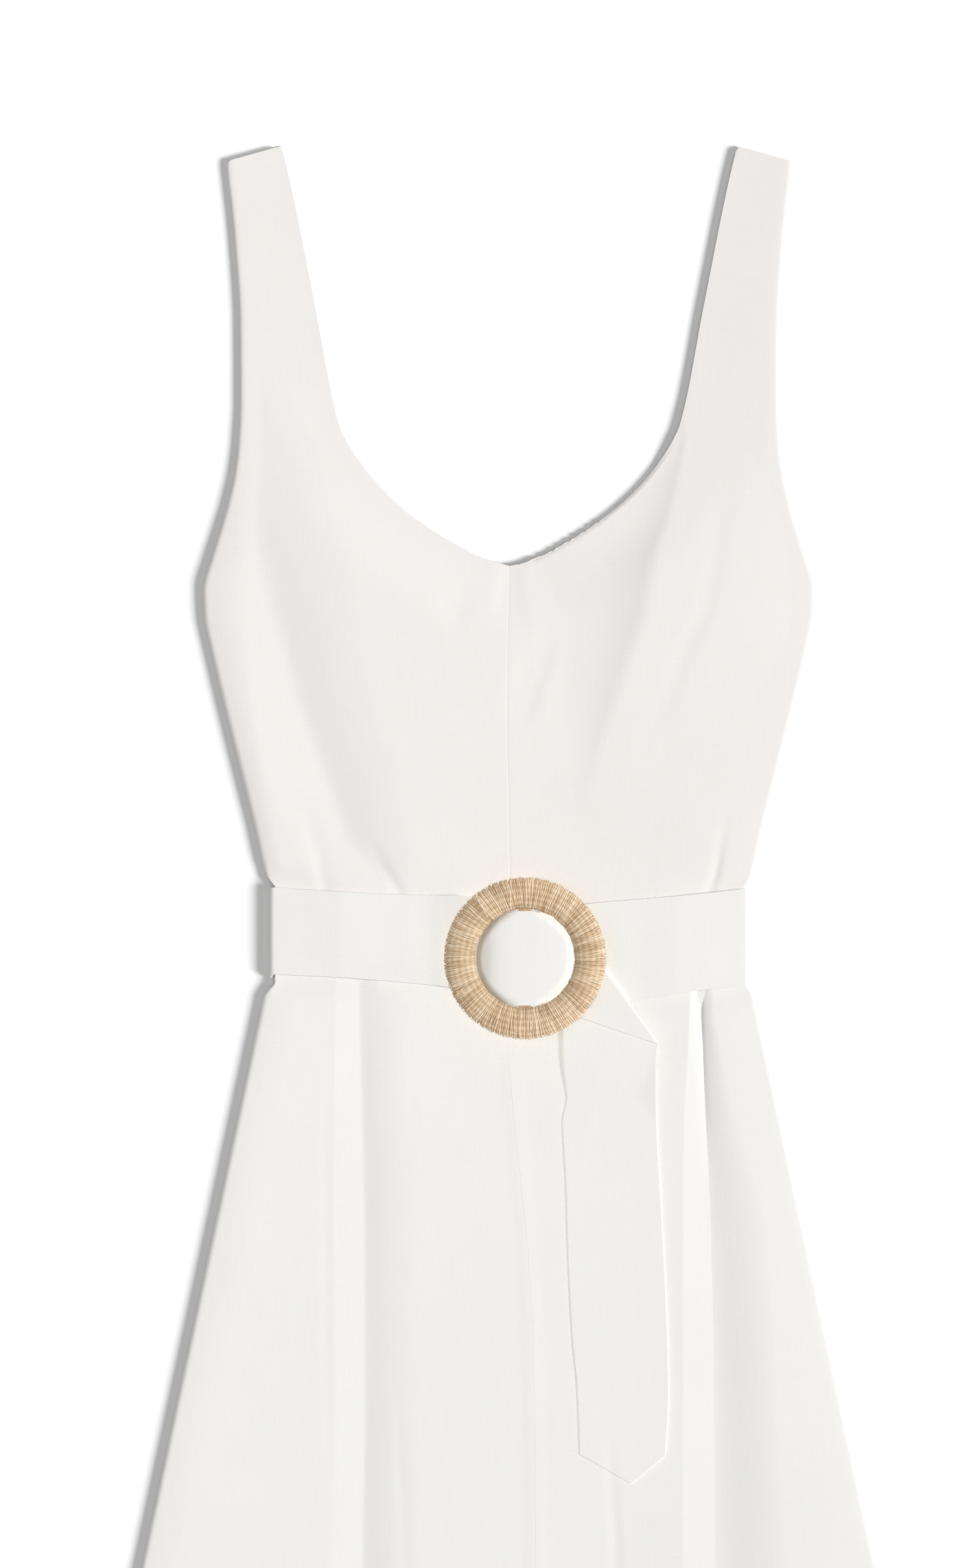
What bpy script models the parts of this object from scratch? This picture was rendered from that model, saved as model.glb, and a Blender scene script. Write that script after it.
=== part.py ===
"""A sleeveless linen dress with a belt and a ring buckle, laid flat with its front up.

Metres, +Z up. X runs across the dress, Y up it from the hem to the shoulders, and Z off
the surface it lies on. The origin is on that surface, under the middle of the dress.
"""

import math
from collections import namedtuple

import bmesh
import bpy
from mathutils import Vector

# All sizes and tables below are in millimetres
MM = 0.001

# Cloth
CLOTH = 1.2
BELT_CLOTH = 1.4
SEAM = 0.3

# Dress
LENGTH = 1270.0
SHOULDER_DROP = 9.5
STRAP_START = 500.0
HEM_RISE = 25.0
WAIST_SEAM = 131.2
NECK_POINT = 366.1
BACK_NECK_DROP = 6.0
HELD_LOFT = 2.0
HELD_REACH = 60.0
RIM_WIDE = 1.6
NECK_REACH = 50.0
POINT_FADE = 14.0
FOLD_FADE = 6.0
EDGE_INSET = 0.7
INSET_REACH = 20.0

# Belt
BELT_RAMP = 13.0
CLEAR_BELOW_BELT = 2.0
CLEAR_ABOVE_BELT = 3.0
BELT_BACK_HIGH = 159.0
BELT_BACK_LOW = 100.5
BELT_TURN = 150.2
BELT_SLOPE = 45.0
TAIL_STEP = 22.0
TAIL_TIP_DIP = 18.0
TAIL_TIP_AT = 0.6

# Ring buckle
RING_X = 9.8
RING_Y = 115.7
RING_OUTER = 51.8
RING_HOLE = 31.2
RING_HIGH = 10.0
BAR_WIDE = 8.0
BAR_THICK = 2.2
BAR_OVER_BELT = 5.6
BAR_BED = 5.0
CLIMB_REACH = 29.0
CLIMB_POWER = 2.4

# Heights of the layers at the waist, each the middle of its cloth but for the first
BACK_LIFT = BELT_CLOTH + SEAM
BELT_AT_SIDE = BACK_LIFT + 2 * (CLOTH + SEAM) + BELT_CLOTH / 2
BELT_REST = BELT_AT_SIDE + HELD_LOFT
TAIL_REST = BELT_REST + BELT_CLOTH + SEAM
PLY_HEIGHT = TAIL_REST + BELT_CLOTH + SEAM
RING_LOWEST = PLY_HEIGHT + BELT_CLOTH / 2 + SEAM
FOLD_RADIUS = (PLY_HEIGHT - TAIL_REST) / 2

# Half width of the dress from hem to shoulder, drawn in where the belt grips it
Side = namedtuple("Side", "y x")
SIDE = [
    Side(-610.0, 306.5), Side(90.0, 156.9), Side(95.0, 153.4), Side(99.0, 150.4),
    Side(161.5, 150.4), Side(166.0, 154.2), Side(201.7, 163.1), Side(276.4, 181.8),
    Side(313.8, 190.7), Side(334.0, 194.8), Side(351.0, 195.4), Side(369.8, 190.5),
    Side(388.5, 184.7), Side(407.2, 179.3), Side(425.8, 175.3), Side(444.5, 173.1),
    Side(470.0, 171.8), Side(520.0, 172.1), Side(575.2, 175.5), Side(620.0, 180.3),
]

# Half width of the neck opening from its point to the shoulder
Neck = namedtuple("Neck", "y x")
NECK = [
    Neck(366.1, 0.0), Neck(369.8, 14.3), Neck(382.3, 38.4), Neck(394.7, 57.3),
    Neck(407.2, 72.6), Neck(419.6, 84.9), Neck(432.1, 95.0), Neck(444.5, 103.3),
    Neck(457.0, 109.1), Neck(531.7, 124.1), Neck(606.4, 139.0), Neck(635.0, 145.7),
]

# Centre-front seam, which wanders as the cloth lies
Seam = namedtuple("Seam", "y x")
CENTRE = [
    Seam(-635.0, 18.0), Seam(-233.0, 16.6), Seam(-138.0, 15.4), Seam(-83.0, 12.5),
    Seam(24.9, 1.7), Seam(60.6, -1.2), Seam(163.0, 0.2), Seam(282.0, -1.6), Seam(366.1, 0.0),
]

# Rows of the cloth grids, by height
BODICE_ROWS = [
    131.2, 148.0, 161.5, 166.0, 178.0, 190.0, 204.0, 220.0, 238.0, 258.0, 278.0, 298.0,
    318.0, 336.0, 351.0, 366.1, 369.8, 376.0, 382.3, 388.5, 394.7, 401.0, 407.2, 419.6,
    432.1, 444.5, 457.0, 481.0, 510.0, 545.0, 585.0, 612.0, 635.0,
]
SKIRT_ROWS = [
    -635.0, -550.0, -460.0, -370.0, -285.0, -215.0, -150.0, -95.0, -45.0, 0.0, 35.0,
    60.0, 72.0, 82.0, 90.0, 99.0, 115.0, 130.9,
]
BACK_SKIRT_ROWS = [-635.0, -400.0, -150.0, 78.0, 90.0, 99.0, 130.9]
BACK_BODICE_ROWS = [
    131.2, 161.5, 166.0, 178.0, 230.0, 291.0, 335.0, 351.0, 360.1, 363.8, 376.3, 388.7,
    401.2, 413.6, 426.1, 438.5, 451.0, 490.0, 540.0, 590.0, 635.0,
]

# Loft of the front over the back: in all, at its round rim, and how far in from the left or
# the right side it is reached
Loft = namedtuple("Loft", "y high rim left right")
LOFTS = [
    Loft(-635.0, 2.4, 1.2, 25.0, 60.0), Loft(-200.0, 2.7, 1.6, 25.0, 60.0),
    Loft(90.0, 2.7, 1.6, 24.0, 45.0), Loft(165.0, 3.0, 1.4, 12.0, 50.0),
    Loft(230.0, 3.4, 1.6, 14.0, 60.0), Loft(320.0, 3.5, 1.5, 22.0, 70.0),
    Loft(370.0, 3.0, 1.4, 22.0, 60.0), Loft(410.0, 1.8, 1.1, 16.0, 30.0),
    Loft(450.0, 1.0, 0.8, 6.0, 10.0), Loft(520.0, 0.8, 0.6, 4.0, 6.0),
    Loft(635.0, 0.8, 0.6, 4.0, 6.0),
]

# Folds. The cloth falls from start to foot, climbs to the crest and sinks again to its end,
# and blunt is how slowly the climb starts. The bodice's left fold and the skirt's pleats are
# steep at the foot, and the bodice's right fold at the crest
Fold = namedtuple("Fold", "y start foot crest end fall climb blunt")
LEFT_FOLD = [
    Fold(158.0, -118.0, -82.0, -66.0, -36.0, 0.4, 1.2, 0.10),
    Fold(168.5, -128.0, -85.5, -60.0, -20.0, 0.7, 1.7, 0.10),
    Fold(189.3, -140.0, -102.0, -62.0, 0.0, 1.2, 2.9, 0.14),
    Fold(210.0, -148.0, -110.5, -66.0, 15.0, 1.6, 3.5, 0.16),
    Fold(230.8, -155.0, -118.5, -68.0, 25.0, 1.7, 3.9, 0.16),
    Fold(272.3, -165.0, -133.0, -80.0, 35.0, 1.5, 4.2, 0.16),
    Fold(313.8, -170.0, -144.5, -92.0, 35.0, 1.1, 4.2, 0.16),
    Fold(355.3, -172.0, -156.5, -98.0, 25.0, 0.6, 3.9, 0.16),
    Fold(396.8, -174.0, -162.5, -114.0, 0.0, 0.3, 2.6, 0.14),
    Fold(438.3, -171.0, -160.0, -122.0, -60.0, 0.1, 1.2, 0.14),
    Fold(480.0, -170.0, -160.5, -140.0, -120.0, 0.05, 0.3, 0.14),
    Fold(500.0, -170.0, -160.5, -140.0, -120.0, 0.0, 0.0, 0.14),
]
RIGHT_FOLD = [
    Fold(205.0, 30.0, 40.0, 50.0, 90.0, 0.0, 0.0, 0.0),
    Fold(230.8, 28.0, 40.0, 53.0, 120.0, 0.1, 0.4, 0.0),
    Fold(272.3, 22.0, 38.0, 65.0, 150.0, 0.3, 1.7, 0.0),
    Fold(313.8, 15.0, 35.5, 78.5, 175.0, 0.5, 3.2, 0.0),
    Fold(334.5, 15.0, 40.0, 85.5, 180.0, 0.5, 3.7, 0.0),
    Fold(355.3, 20.0, 46.0, 89.5, 180.0, 0.5, 3.7, 0.0),
    Fold(376.0, 40.0, 62.0, 94.0, 178.0, 0.4, 2.9, 0.0),
    Fold(396.8, 60.0, 77.0, 101.5, 174.0, 0.2, 1.9, 0.0),
    Fold(413.4, 70.0, 83.0, 105.5, 168.0, 0.1, 1.5, 0.0),
    Fold(450.0, 90.0, 106.0, 112.0, 150.0, 0.0, 0.4, 0.0),
    Fold(470.0, 95.0, 106.0, 112.0, 150.0, 0.0, 0.0, 0.0),
]
LEFT_PLEAT = [
    Fold(-635.0, -118.0, -95.5, -50.0, 90.0, 1.4, 2.9, 0.08),
    Fold(-265.0, -113.5, -93.8, -58.0, 80.0, 1.4, 2.9, 0.08),
    Fold(-165.0, -112.8, -92.6, -58.0, 80.0, 1.4, 2.8, 0.07),
    Fold(-56.0, -112.5, -92.8, -60.0, 80.0, 1.4, 2.7, 0.07),
    Fold(62.0, -111.5, -95.0, -66.0, 60.0, 1.3, 2.3, 0.06),
    Fold(92.0, -111.0, -95.5, -68.0, 40.0, 1.2, 1.8, 0.06),
    Fold(131.0, -111.0, -96.0, -70.0, 30.0, 0.9, 1.2, 0.06),
]
RIGHT_PLEAT = [
    Fold(-635.0, 108.0, 138.0, 205.0, 300.0, 2.4, 3.6, 0.60),
    Fold(-225.0, 111.0, 131.0, 173.0, 232.0, 2.2, 3.4, 0.45),
    Fold(-142.0, 111.0, 130.5, 169.0, 212.0, 2.2, 3.3, 0.40),
    Fold(-60.0, 111.0, 128.6, 163.0, 192.0, 2.2, 3.0, 0.22),
    Fold(-18.0, 111.0, 127.0, 153.5, 182.0, 2.2, 2.8, 0.16),
    Fold(23.0, 112.0, 124.6, 142.0, 172.0, 2.2, 2.6, 0.08),
    Fold(56.0, 114.0, 124.0, 136.0, 162.0, 2.2, 2.4, 0.05),
    Fold(81.0, 115.0, 122.8, 131.0, 155.0, 2.1, 2.2, 0.04),
    Fold(131.0, 116.0, 123.0, 131.0, 150.0, 1.5, 1.5, 0.04),
]
FOOT_POWER = {"left_fold": 2.2, "left_pleat": 2.2, "right_pleat": 2.0}
CREST_POWER = 2.6

# Edges of the belt where it shows in front, from the sides in towards the ring
Band = namedtuple("Band", "x high low")
BAND_LEFT = [
    Band(-153.0, 160.7, 105.1), Band(-110.0, 157.8, 103.2), Band(-60.0, 155.7, 99.3),
    Band(-30.0, 155.3, 96.0),
]
BAND_RIGHT = [
    Band(4.0, 144.0, 87.2), Band(24.0, 145.0, 86.5), Band(34.0, 147.0, 85.0),
    Band(52.0, 150.3, 84.5), Band(76.0, 152.4, 88.0), Band(104.0, 154.7, 92.6),
    Band(153.0, 159.8, 98.4),
]

# Rise of the belt over its rest on its way up over the bar, from the left, and down again:
# along its edges, where the ring is near, and along its middle
Climb = namedtuple("Climb", "x rise")
CLIMB = [
    Climb(-60.0, 0.0), Climb(-48.0, 0.2), Climb(-42.0, 0.8), Climb(-30.0, 2.2),
    Climb(-21.0, 3.1), Climb(-15.0, 3.35), Climb(-10.0, 3.9), Climb(-5.0, 5.8),
    Climb(0.0, 8.2), Climb(4.5, 10.2), Climb(6.5, 10.5), Climb(15.5, 10.5),
    Climb(18.0, 9.9), Climb(21.0, 8.2), Climb(24.6, 5.8), Climb(28.0, 4.0),
    Climb(30.5, 3.5), Climb(33.0, PLY_HEIGHT - BELT_REST),
]
MIDDLE_CLIMB = [
    Climb(-60.0, 0.0), Climb(-48.0, 0.2), Climb(-42.0, 0.8), Climb(-30.0, 2.2),
    Climb(-26.0, 3.3), Climb(-21.0, 5.0), Climb(-16.0, 7.4), Climb(-11.0, 9.3),
    Climb(-5.0, 10.2), Climb(2.0, 10.5), Climb(16.0, 10.5), Climb(24.0, 9.6),
    Climb(29.0, 8.0), Climb(33.0, 6.0), Climb(36.5, 4.3), Climb(40.0, 3.5),
    Climb(44.0, PLY_HEIGHT - BELT_REST),
]

# Rise of the belt's sewn end, from its hook on the bar down to the dress
SEWN_HOOK = [
    Climb(15.5, 8.8), Climb(5.8, 8.8), Climb(5.1, 8.5), Climb(4.8, 7.8),
    Climb(4.8, 5.6), Climb(5.1, 4.9), Climb(5.8, 4.6), Climb(13.5, 4.6),
    Climb(20.0, 3.0), Climb(26.0, 0.8), Climb(31.0, 0.0),
]

# Lines across the free end. The first edge is the upper one beside the ring and the
# left one in the tail, and the second is the other
Rung = namedtuple("Rung", "ax ay bx by")
PASS_RUNGS = [
    Rung(-29.7, 155.3, -29.7, 96.0), Rung(-21.0, 151.5, -21.0, 92.5),
    Rung(-15.0, 148.5, -15.0, 89.5), Rung(-10.0, 146.0, -10.0, 88.0),
    Rung(-5.0, 144.6, -5.0, 87.0), Rung(0.0, 144.3, 0.0, 87.0),
    Rung(5.0, 145.7, 5.0, 85.6), Rung(14.5, 145.7, 14.5, 85.6),
    Rung(18.5, 144.3, 19.5, 87.0), Rung(22.0, 143.8, 25.0, 88.0),
    Rung(25.0, 144.4, 31.0, 86.0), Rung(28.0, 144.5, 42.0, 79.4),
    Rung(30.5, 144.6, 58.0, 73.3), Rung(32.5, 144.8, 76.0, 67.2),
    Rung(34.0, 144.9, 94.2, 61.1),
]
TAIL_RUNGS = [
    Rung(34.0, 144.9, 94.2, 61.1), Rung(34.2, 112.0, 93.6, 56.0),
    Rung(34.3, 80.0, 93.2, 47.0), Rung(34.6, 52.0, 93.2, 35.0),
    Rung(36.9, 26.0, 93.4, 20.0), Rung(34.2, 10.0, 93.9, 3.4),
    Rung(36.3, -29.4, 95.7, -28.0), Rung(37.4, -66.0, 97.8, -66.0),
    Rung(40.3, -124.5, 100.5, -124.5), Rung(43.6, -160.6, 101.3, -160.6),
    Rung(45.2, -201.6, 99.2, -202.5),
]

LINEN = ("linen", (0.86, 0.845, 0.815), 0.9)
BELT_LINEN = ("belt linen", (0.87, 0.86, 0.84), 0.88)
JUTE = ("jute yarn", (0.63, 0.45, 0.27), 0.85)


def read(rows, column, at, key="y"):
    """The value of a table's column at a place, on a smooth curve that never overshoots."""
    places = [getattr(row, key) for row in rows]
    values = [getattr(row, column) for row in rows]
    if at <= places[0]:
        return values[0]
    if at >= places[-1]:
        return values[-1]
    slopes = [(values[i + 1] - values[i]) / (places[i + 1] - places[i]) for i in range(len(rows) - 1)]
    i = max(n for n in range(len(rows) - 1) if places[n] <= at)

    def tangent(n):
        if n == 0 or n == len(rows) - 1:
            return slopes[min(n, len(slopes) - 1)]
        before, after = slopes[n - 1], slopes[n]
        return 0.0 if before * after <= 0 else 2 * before * after / (before + after)

    span = places[i + 1] - places[i]
    t = (at - places[i]) / span
    return (
        values[i] * (1 + 2 * t) * (1 - t) ** 2
        + values[i + 1] * t * t * (3 - 2 * t)
        + tangent(i) * span * t * (1 - t) ** 2
        - tangent(i + 1) * span * t * t * (1 - t)
    )


def soft(t):
    """A smooth step from 0 to 1."""
    t = min(1.0, max(0.0, t))
    return t * t * (3 - 2 * t)


def between(stations, share):
    """The place at a share of the way through a list, each step having an equal part."""
    place = share * (len(stations) - 1)
    i = min(int(place), len(stations) - 2)
    return stations[i] + (stations[i + 1] - stations[i]) * (place - i)


def side(y):
    """Half width of the dress at a height, straight down the skirt."""
    if y < SIDE[1].y:
        share = (y - SIDE[0].y) / (SIDE[1].y - SIDE[0].y)
        return SIDE[0].x + (SIDE[1].x - SIDE[0].x) * share
    return read(SIDE, "x", y)


def centre(y):
    """Place across of the centre-front seam."""
    return read(CENTRE, "x", y)


def shoulder_slope(row, share):
    """How far the shoulder's slope lowers a point of a row, none below the strap."""
    return SHOULDER_DROP * share * soft((row - STRAP_START) / (LENGTH / 2 - STRAP_START))


def band_edge(x, edge):
    """Height of the belt's upper or lower edge in front."""
    if x < BAND_LEFT[-1].x:
        return read(BAND_LEFT, edge, x, "x")
    if x > BAND_RIGHT[2].x:
        return read(BAND_RIGHT, edge, x, "x")
    share = soft((x - BAND_LEFT[-1].x) / (BAND_RIGHT[2].x - BAND_LEFT[-1].x))
    start, end = getattr(BAND_LEFT[-1], edge), getattr(BAND_RIGHT[2], edge)
    return start + (end - start) * share


def pressed(y, low, high):
    """1 where the belt holds the cloth, 0 a ramp's length away from it."""
    return soft(1 - (low - y) / BELT_RAMP) * soft(1 - (y - high) / BELT_RAMP)


def back_under(y):
    """Height of the back's underside, flat but for its climb over the belt."""
    return BACK_LIFT * pressed(y, BELT_BACK_LOW - CLEAR_BELOW_BELT, BELT_BACK_HIGH + CLEAR_ABOVE_BELT)


def neck_edge():
    """Points along the neck's edge, close together."""
    steps = 60
    heights = [NECK_POINT + (LENGTH / 2 - NECK_POINT) * n / steps for n in range(steps + 1)]
    return [(read(NECK, "x", y), y) for y in heights]


NECK_EDGE = neck_edge()


def neck_gap(x, y):
    """Distance from the neck's edge."""
    return min(math.hypot(abs(x) - edge_x, y - edge_y) for edge_x, edge_y in NECK_EDGE)


def fold_height(rows, x, y, foot_power=None):
    """Height of a fold over the unfolded cloth, steep at the crest if it has no foot power."""
    if not rows[0].y < y < rows[-1].y:
        return 0.0
    start, foot, crest, end, fall, climb, blunt = (read(rows, name, y) for name in Fold._fields[1:])
    down = min(1.0, max(0.0, (x - start) / (foot - start)))
    up = min(1.0, max(0.0, (x - foot) / (crest - foot)))
    back = min(1.0, max(0.0, (x - crest) / (end - crest)))
    if foot_power is None:
        up = up**CREST_POWER
    elif up > 0:
        up = up * up / (up + blunt * (1 - up))
        up = 1 - (1 - up) ** foot_power
    return climb * up - fall * down - (climb - fall) * back


def rim_share(gap, wide):
    """A round rim's rise from 0 to 1 over its width."""
    return math.sqrt(1 - (1 - min(1.0, max(0.0, gap / wide))) ** 2)


def free_loft(x, y):
    """Height of the front over the back where nothing holds it, without its folds."""
    high, rim = read(LOFTS, "high", y), read(LOFTS, "rim", y)
    share = 1.0
    for reach, gap in (("left", side(y) + x), ("right", side(y) - x)):
        slow = 1 - (1 - min(1.0, max(0.0, gap / read(LOFTS, reach, y)))) ** 2
        share *= (rim * rim_share(gap, RIM_WIDE) + (high - rim) * slow) / high
    if y > WAIST_SEAM:
        gap = neck_gap(x, y)
        rim *= soft(abs(x) / POINT_FADE)
        share *= (rim * rim_share(gap, RIM_WIDE) + (high - rim) * soft(gap / NECK_REACH)) / high
    return high * share


def front_under(x, y):
    """Height of the front's underside: on the back at its edges, lofted and folded inside."""
    gap = side(y) - abs(x)
    low = min(BELT_BACK_LOW, band_edge(x, "low")) - CLEAR_BELOW_BELT
    high = max(BELT_BACK_HIGH, band_edge(x, "high")) + CLEAR_ABOVE_BELT
    held = pressed(y, low, high)
    shape = free_loft(x, y) * (1 - held) + HELD_LOFT * soft(gap / HELD_REACH) * held
    if y > WAIST_SEAM:
        folds = fold_height(LEFT_FOLD, x, y, FOOT_POWER["left_fold"]) + fold_height(RIGHT_FOLD, x, y)
    else:
        folds = fold_height(LEFT_PLEAT, x, y, FOOT_POWER["left_pleat"])
        folds += fold_height(RIGHT_PLEAT, x, y, FOOT_POWER["right_pleat"])
    shape += (folds * (1 - held) if folds > 0 else folds) * soft(gap / FOLD_FADE)
    return back_under(y) + CLOTH + SEAM + max(0.0, shape)


def lay(x, y):
    """A point of the front's underside, a little inside its outline for the wall's sake."""
    inset = EDGE_INSET * (1 - soft((side(y) - abs(x)) / INSET_REACH))
    return x - math.copysign(inset, x), y, front_under(x, y)


def belt_climb(x, y):
    """Rise of the free end over the belt's rest, wider in the middle of the hole."""
    off = min(1.0, abs(y - RING_Y) / CLIMB_REACH)
    edge, middle = read(CLIMB, "rise", x, "x"), read(MIDDLE_CLIMB, "rise", x, "x")
    return edge + (middle - edge) * (1 - off**2) ** CLIMB_POWER


def belt_rest(x):
    """Height of the middle of the belt's cloth in front, sloping down to the sides."""
    return BELT_AT_SIDE + (BELT_REST - BELT_AT_SIDE) * min(1.0, (BELT_TURN - abs(x)) / BELT_SLOPE)


def finish(recipe):
    """A Principled material from its name, colour and roughness."""
    name, colour, roughness = recipe
    material = bpy.data.materials.get(name) or bpy.data.materials.new(name)
    material.use_nodes = True
    shader = material.node_tree.nodes["Principled BSDF"]
    shader.inputs["Base Color"].default_value = (*colour, 1.0)
    shader.inputs["Roughness"].default_value = roughness
    shader.inputs["Metallic"].default_value = 0.0
    material.diffuse_color = (*colour, 1.0)
    return material


def new_object(name, mesh, collection, recipe):
    """An object with its material in the given collection."""
    made = bpy.data.objects.new(name, mesh)
    made.data.materials.append(finish(recipe))
    collection.objects.link(made)
    return made


def cloth(name, across, along, place, thickness, lift, recipe, collection):
    """A grid of cloth with each point put by place(u, v), and its wall by Solidify.

    lift is 1 where the wall stands on the points, and 0 where they run down its middle.
    """
    grid = bmesh.new()
    bmesh.ops.create_grid(grid, x_segments=across, y_segments=along, size=0.5)
    for point in grid.verts:
        point.co = Vector(place(point.co.x + 0.5, point.co.y + 0.5)) * MM
    grid.normal_update()
    if sum(face.normal.z * face.calc_area() for face in grid.faces) < 0:
        bmesh.ops.reverse_faces(grid, faces=grid.faces)
    mesh = bpy.data.meshes.new(name)
    grid.to_mesh(mesh)
    grid.free()
    mesh.shade_smooth()
    made = new_object(name, mesh, collection, recipe)
    wall = made.modifiers.new("Wall", "SOLIDIFY")
    wall.thickness = thickness * MM
    wall.offset = lift
    return made


def bodice_half(name, hand, collection):
    """Half of the front bodice with its strap. hand is -1 for the left and 1 for the right."""
    across = 19

    def inner_edge(y):
        seam = hand * centre(y) + SEAM / 2
        return max(read(NECK, "x", y), seam) if y > NECK_POINT else seam

    def place(u, v):
        row = between(BODICE_ROWS, v)
        width = side(row) - inner_edge(row)
        column = round(u * (across + 2))
        share = (column - 1) / across
        if column == 0 or column == across + 2:
            share = 0.0 if column == 0 else 1.0
        else:
            share = (RIM_WIDE + (width - 2 * RIM_WIDE) * share) / width
        y = row - shoulder_slope(row, share)
        inner = inner_edge(y)
        return lay(hand * (inner + (side(y) - inner) * share), y)

    return cloth(name, across + 2, len(BODICE_ROWS) - 1, place, CLOTH, 1, LINEN, collection)


def skirt_half(name, hand, pleat, knots, collection):
    """Half of the front skirt. knots gives each line down the skirt and the columns up to it."""
    lines = ["seam"] + [line for line, _ in knots]
    columns = [(lines[0], lines[1], 0.0)]
    for before, (line, count) in zip(lines, knots):
        columns += [(before, line, n / count) for n in range(1, count + 1)]

    def line_at(line, row):
        if line == "seam":
            return hand * centre(row) + SEAM / 2
        if line == "rim":
            return side(row) - RIM_WIDE
        return side(row) if line == "side" else hand * read(pleat, line, row)

    def place(u, v):
        row = between(SKIRT_ROWS, v)
        before, line, share = columns[round(u * (len(columns) - 1))]
        across = line_at(before, row) + (line_at(line, row) - line_at(before, row)) * share
        y = row + hem_lift(across, row)
        return lay(hand * across * side(y) / side(row), y)

    return cloth(name, len(columns) - 1, len(SKIRT_ROWS) - 1, place, CLOTH, 1, LINEN, collection)


def hem_lift(across, row):
    """How far the hem's curve lifts a point of a row, none at the waist."""
    down = (WAIST_SEAM - row) / (WAIST_SEAM + LENGTH / 2)
    return HEM_RISE * (across / side(row)) ** 2 * down


def back_bodice(collection):
    """The back bodice with its straps: one half and its mirror, joined below the neck."""
    point = NECK_POINT - BACK_NECK_DROP

    def place(u, v):
        row = between(BACK_BODICE_ROWS, v)
        y = row - shoulder_slope(row, u)
        inner = read(NECK, "x", y + BACK_NECK_DROP) if y > point else 0.0
        return inner + (side(y) - inner) * u, y, back_under(y)

    made = cloth("back_bodice", 8, len(BACK_BODICE_ROWS) - 1, place, CLOTH, 1, LINEN, collection)
    mirror = made.modifiers.new("Other half", "MIRROR")
    mirror.merge_threshold = 0.0001
    made.modifiers.move(1, 0)
    return made


def back_skirt(collection):
    """The back skirt, flat on the surface."""
    def place(u, v):
        row = between(BACK_SKIRT_ROWS, v)
        across = side(row) * (2 * u - 1)
        y = row + hem_lift(across, row)
        return side(y) * (2 * u - 1), y, back_under(y)

    rows = len(BACK_SKIRT_ROWS) - 1
    return cloth("back_skirt", 16, rows, place, CLOTH, 1, LINEN, collection)


def belt_band(collection):
    """The belt's stretch round the waist, from its hook on the bar to just left of it."""
    Station = namedtuple("Station", "x z high low")
    turn = (BELT_AT_SIDE - BELT_CLOTH / 2) / 2
    middle = BELT_CLOTH / 2 + turn
    path = [Station(hook.x, BELT_REST + hook.rise, read(BAND_RIGHT, "high", hook.x, "x"),
                    read(BAND_RIGHT, "low", hook.x, "x")) for hook in SEWN_HOOK]
    for x in (42.0, 52.0, 76.0, BELT_TURN - BELT_SLOPE, 128.0):
        path.append(Station(x, belt_rest(x), band_edge(x, "high"), band_edge(x, "low")))
    steps = 6
    for hand in (1, -1):
        high, low = band_edge(hand * BELT_TURN, "high"), band_edge(hand * BELT_TURN, "low")
        turned = []
        for n in range(steps + 1):
            share = n / steps
            angle = math.pi * (0.5 - share)
            turned.append(Station(
                hand * (BELT_TURN + turn * math.cos(angle)),
                middle + turn * math.sin(angle),
                high + (BELT_BACK_HIGH - high) * share,
                low + (BELT_BACK_LOW - low) * share,
            ))
        if hand == 1:
            path += turned
            path += [Station(x, BELT_CLOTH / 2, BELT_BACK_HIGH, BELT_BACK_LOW) for x in (75.0, 0.0, -75.0)]
        else:
            path += turned[::-1]
    for x in (-128.0, BELT_SLOPE - BELT_TURN, -80.0, -60.0, -52.0, -42.0, -36.0, -30.0):
        z = belt_rest(x) + read(CLIMB, "rise", x, "x")
        path.append(Station(x, z, band_edge(x, "high"), band_edge(x, "low")))

    def place(u, v):
        at = path[round(v * (len(path) - 1))]
        return at.x, at.low + (at.high - at.low) * u, at.z

    return cloth("belt_band", 2, len(path) - 1, place, BELT_CLOTH, 0, BELT_LINEN, collection)


def belt_end(collection):
    """The free end: up over the bar, out under the ring, folded under, and down as a tail."""
    across = 8
    first, last = PASS_RUNGS[-1], TAIL_RUNGS[0]
    fold = Vector((last.bx - last.ax, last.by - last.ay))
    out = Vector((-fold.y, fold.x)).normalized()
    turns = 5
    points = []

    def spread(rung, share):
        return Vector((rung.ax + (rung.bx - rung.ax) * share, rung.ay + (rung.by - rung.ay) * share))

    for rung in PASS_RUNGS[:-1]:
        row = [spread(rung, n / across) for n in range(across + 1)]
        points.append([(p.x, p.y, BELT_REST + belt_climb(p.x, p.y)) for p in row])
    for n in range(turns + 1):
        angle = math.pi * n / turns
        row = [spread(first, m / across) + out * FOLD_RADIUS * math.sin(angle) for m in range(across + 1)]
        points.append([(p.x, p.y, PLY_HEIGHT - FOLD_RADIUS * (1 - math.cos(angle))) for p in row])
    for rung in TAIL_RUNGS[1:]:
        row = [spread(rung, n / across) for n in range(across + 1)]
        if rung is TAIL_RUNGS[-1]:
            for n, p in enumerate(row):
                share = n / across
                tent = min(share / TAIL_TIP_AT, (1 - share) / (1 - TAIL_TIP_AT))
                p.y -= TAIL_TIP_DIP * tent
        points.append([(p.x, p.y, tail_height(p, out)) for p in row])

    def place(u, v):
        return points[round(v * (len(points) - 1))][round(u * across)]

    return cloth("belt_end", across, len(points) - 1, place, BELT_CLOTH, 0, BELT_LINEN, collection)


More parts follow.
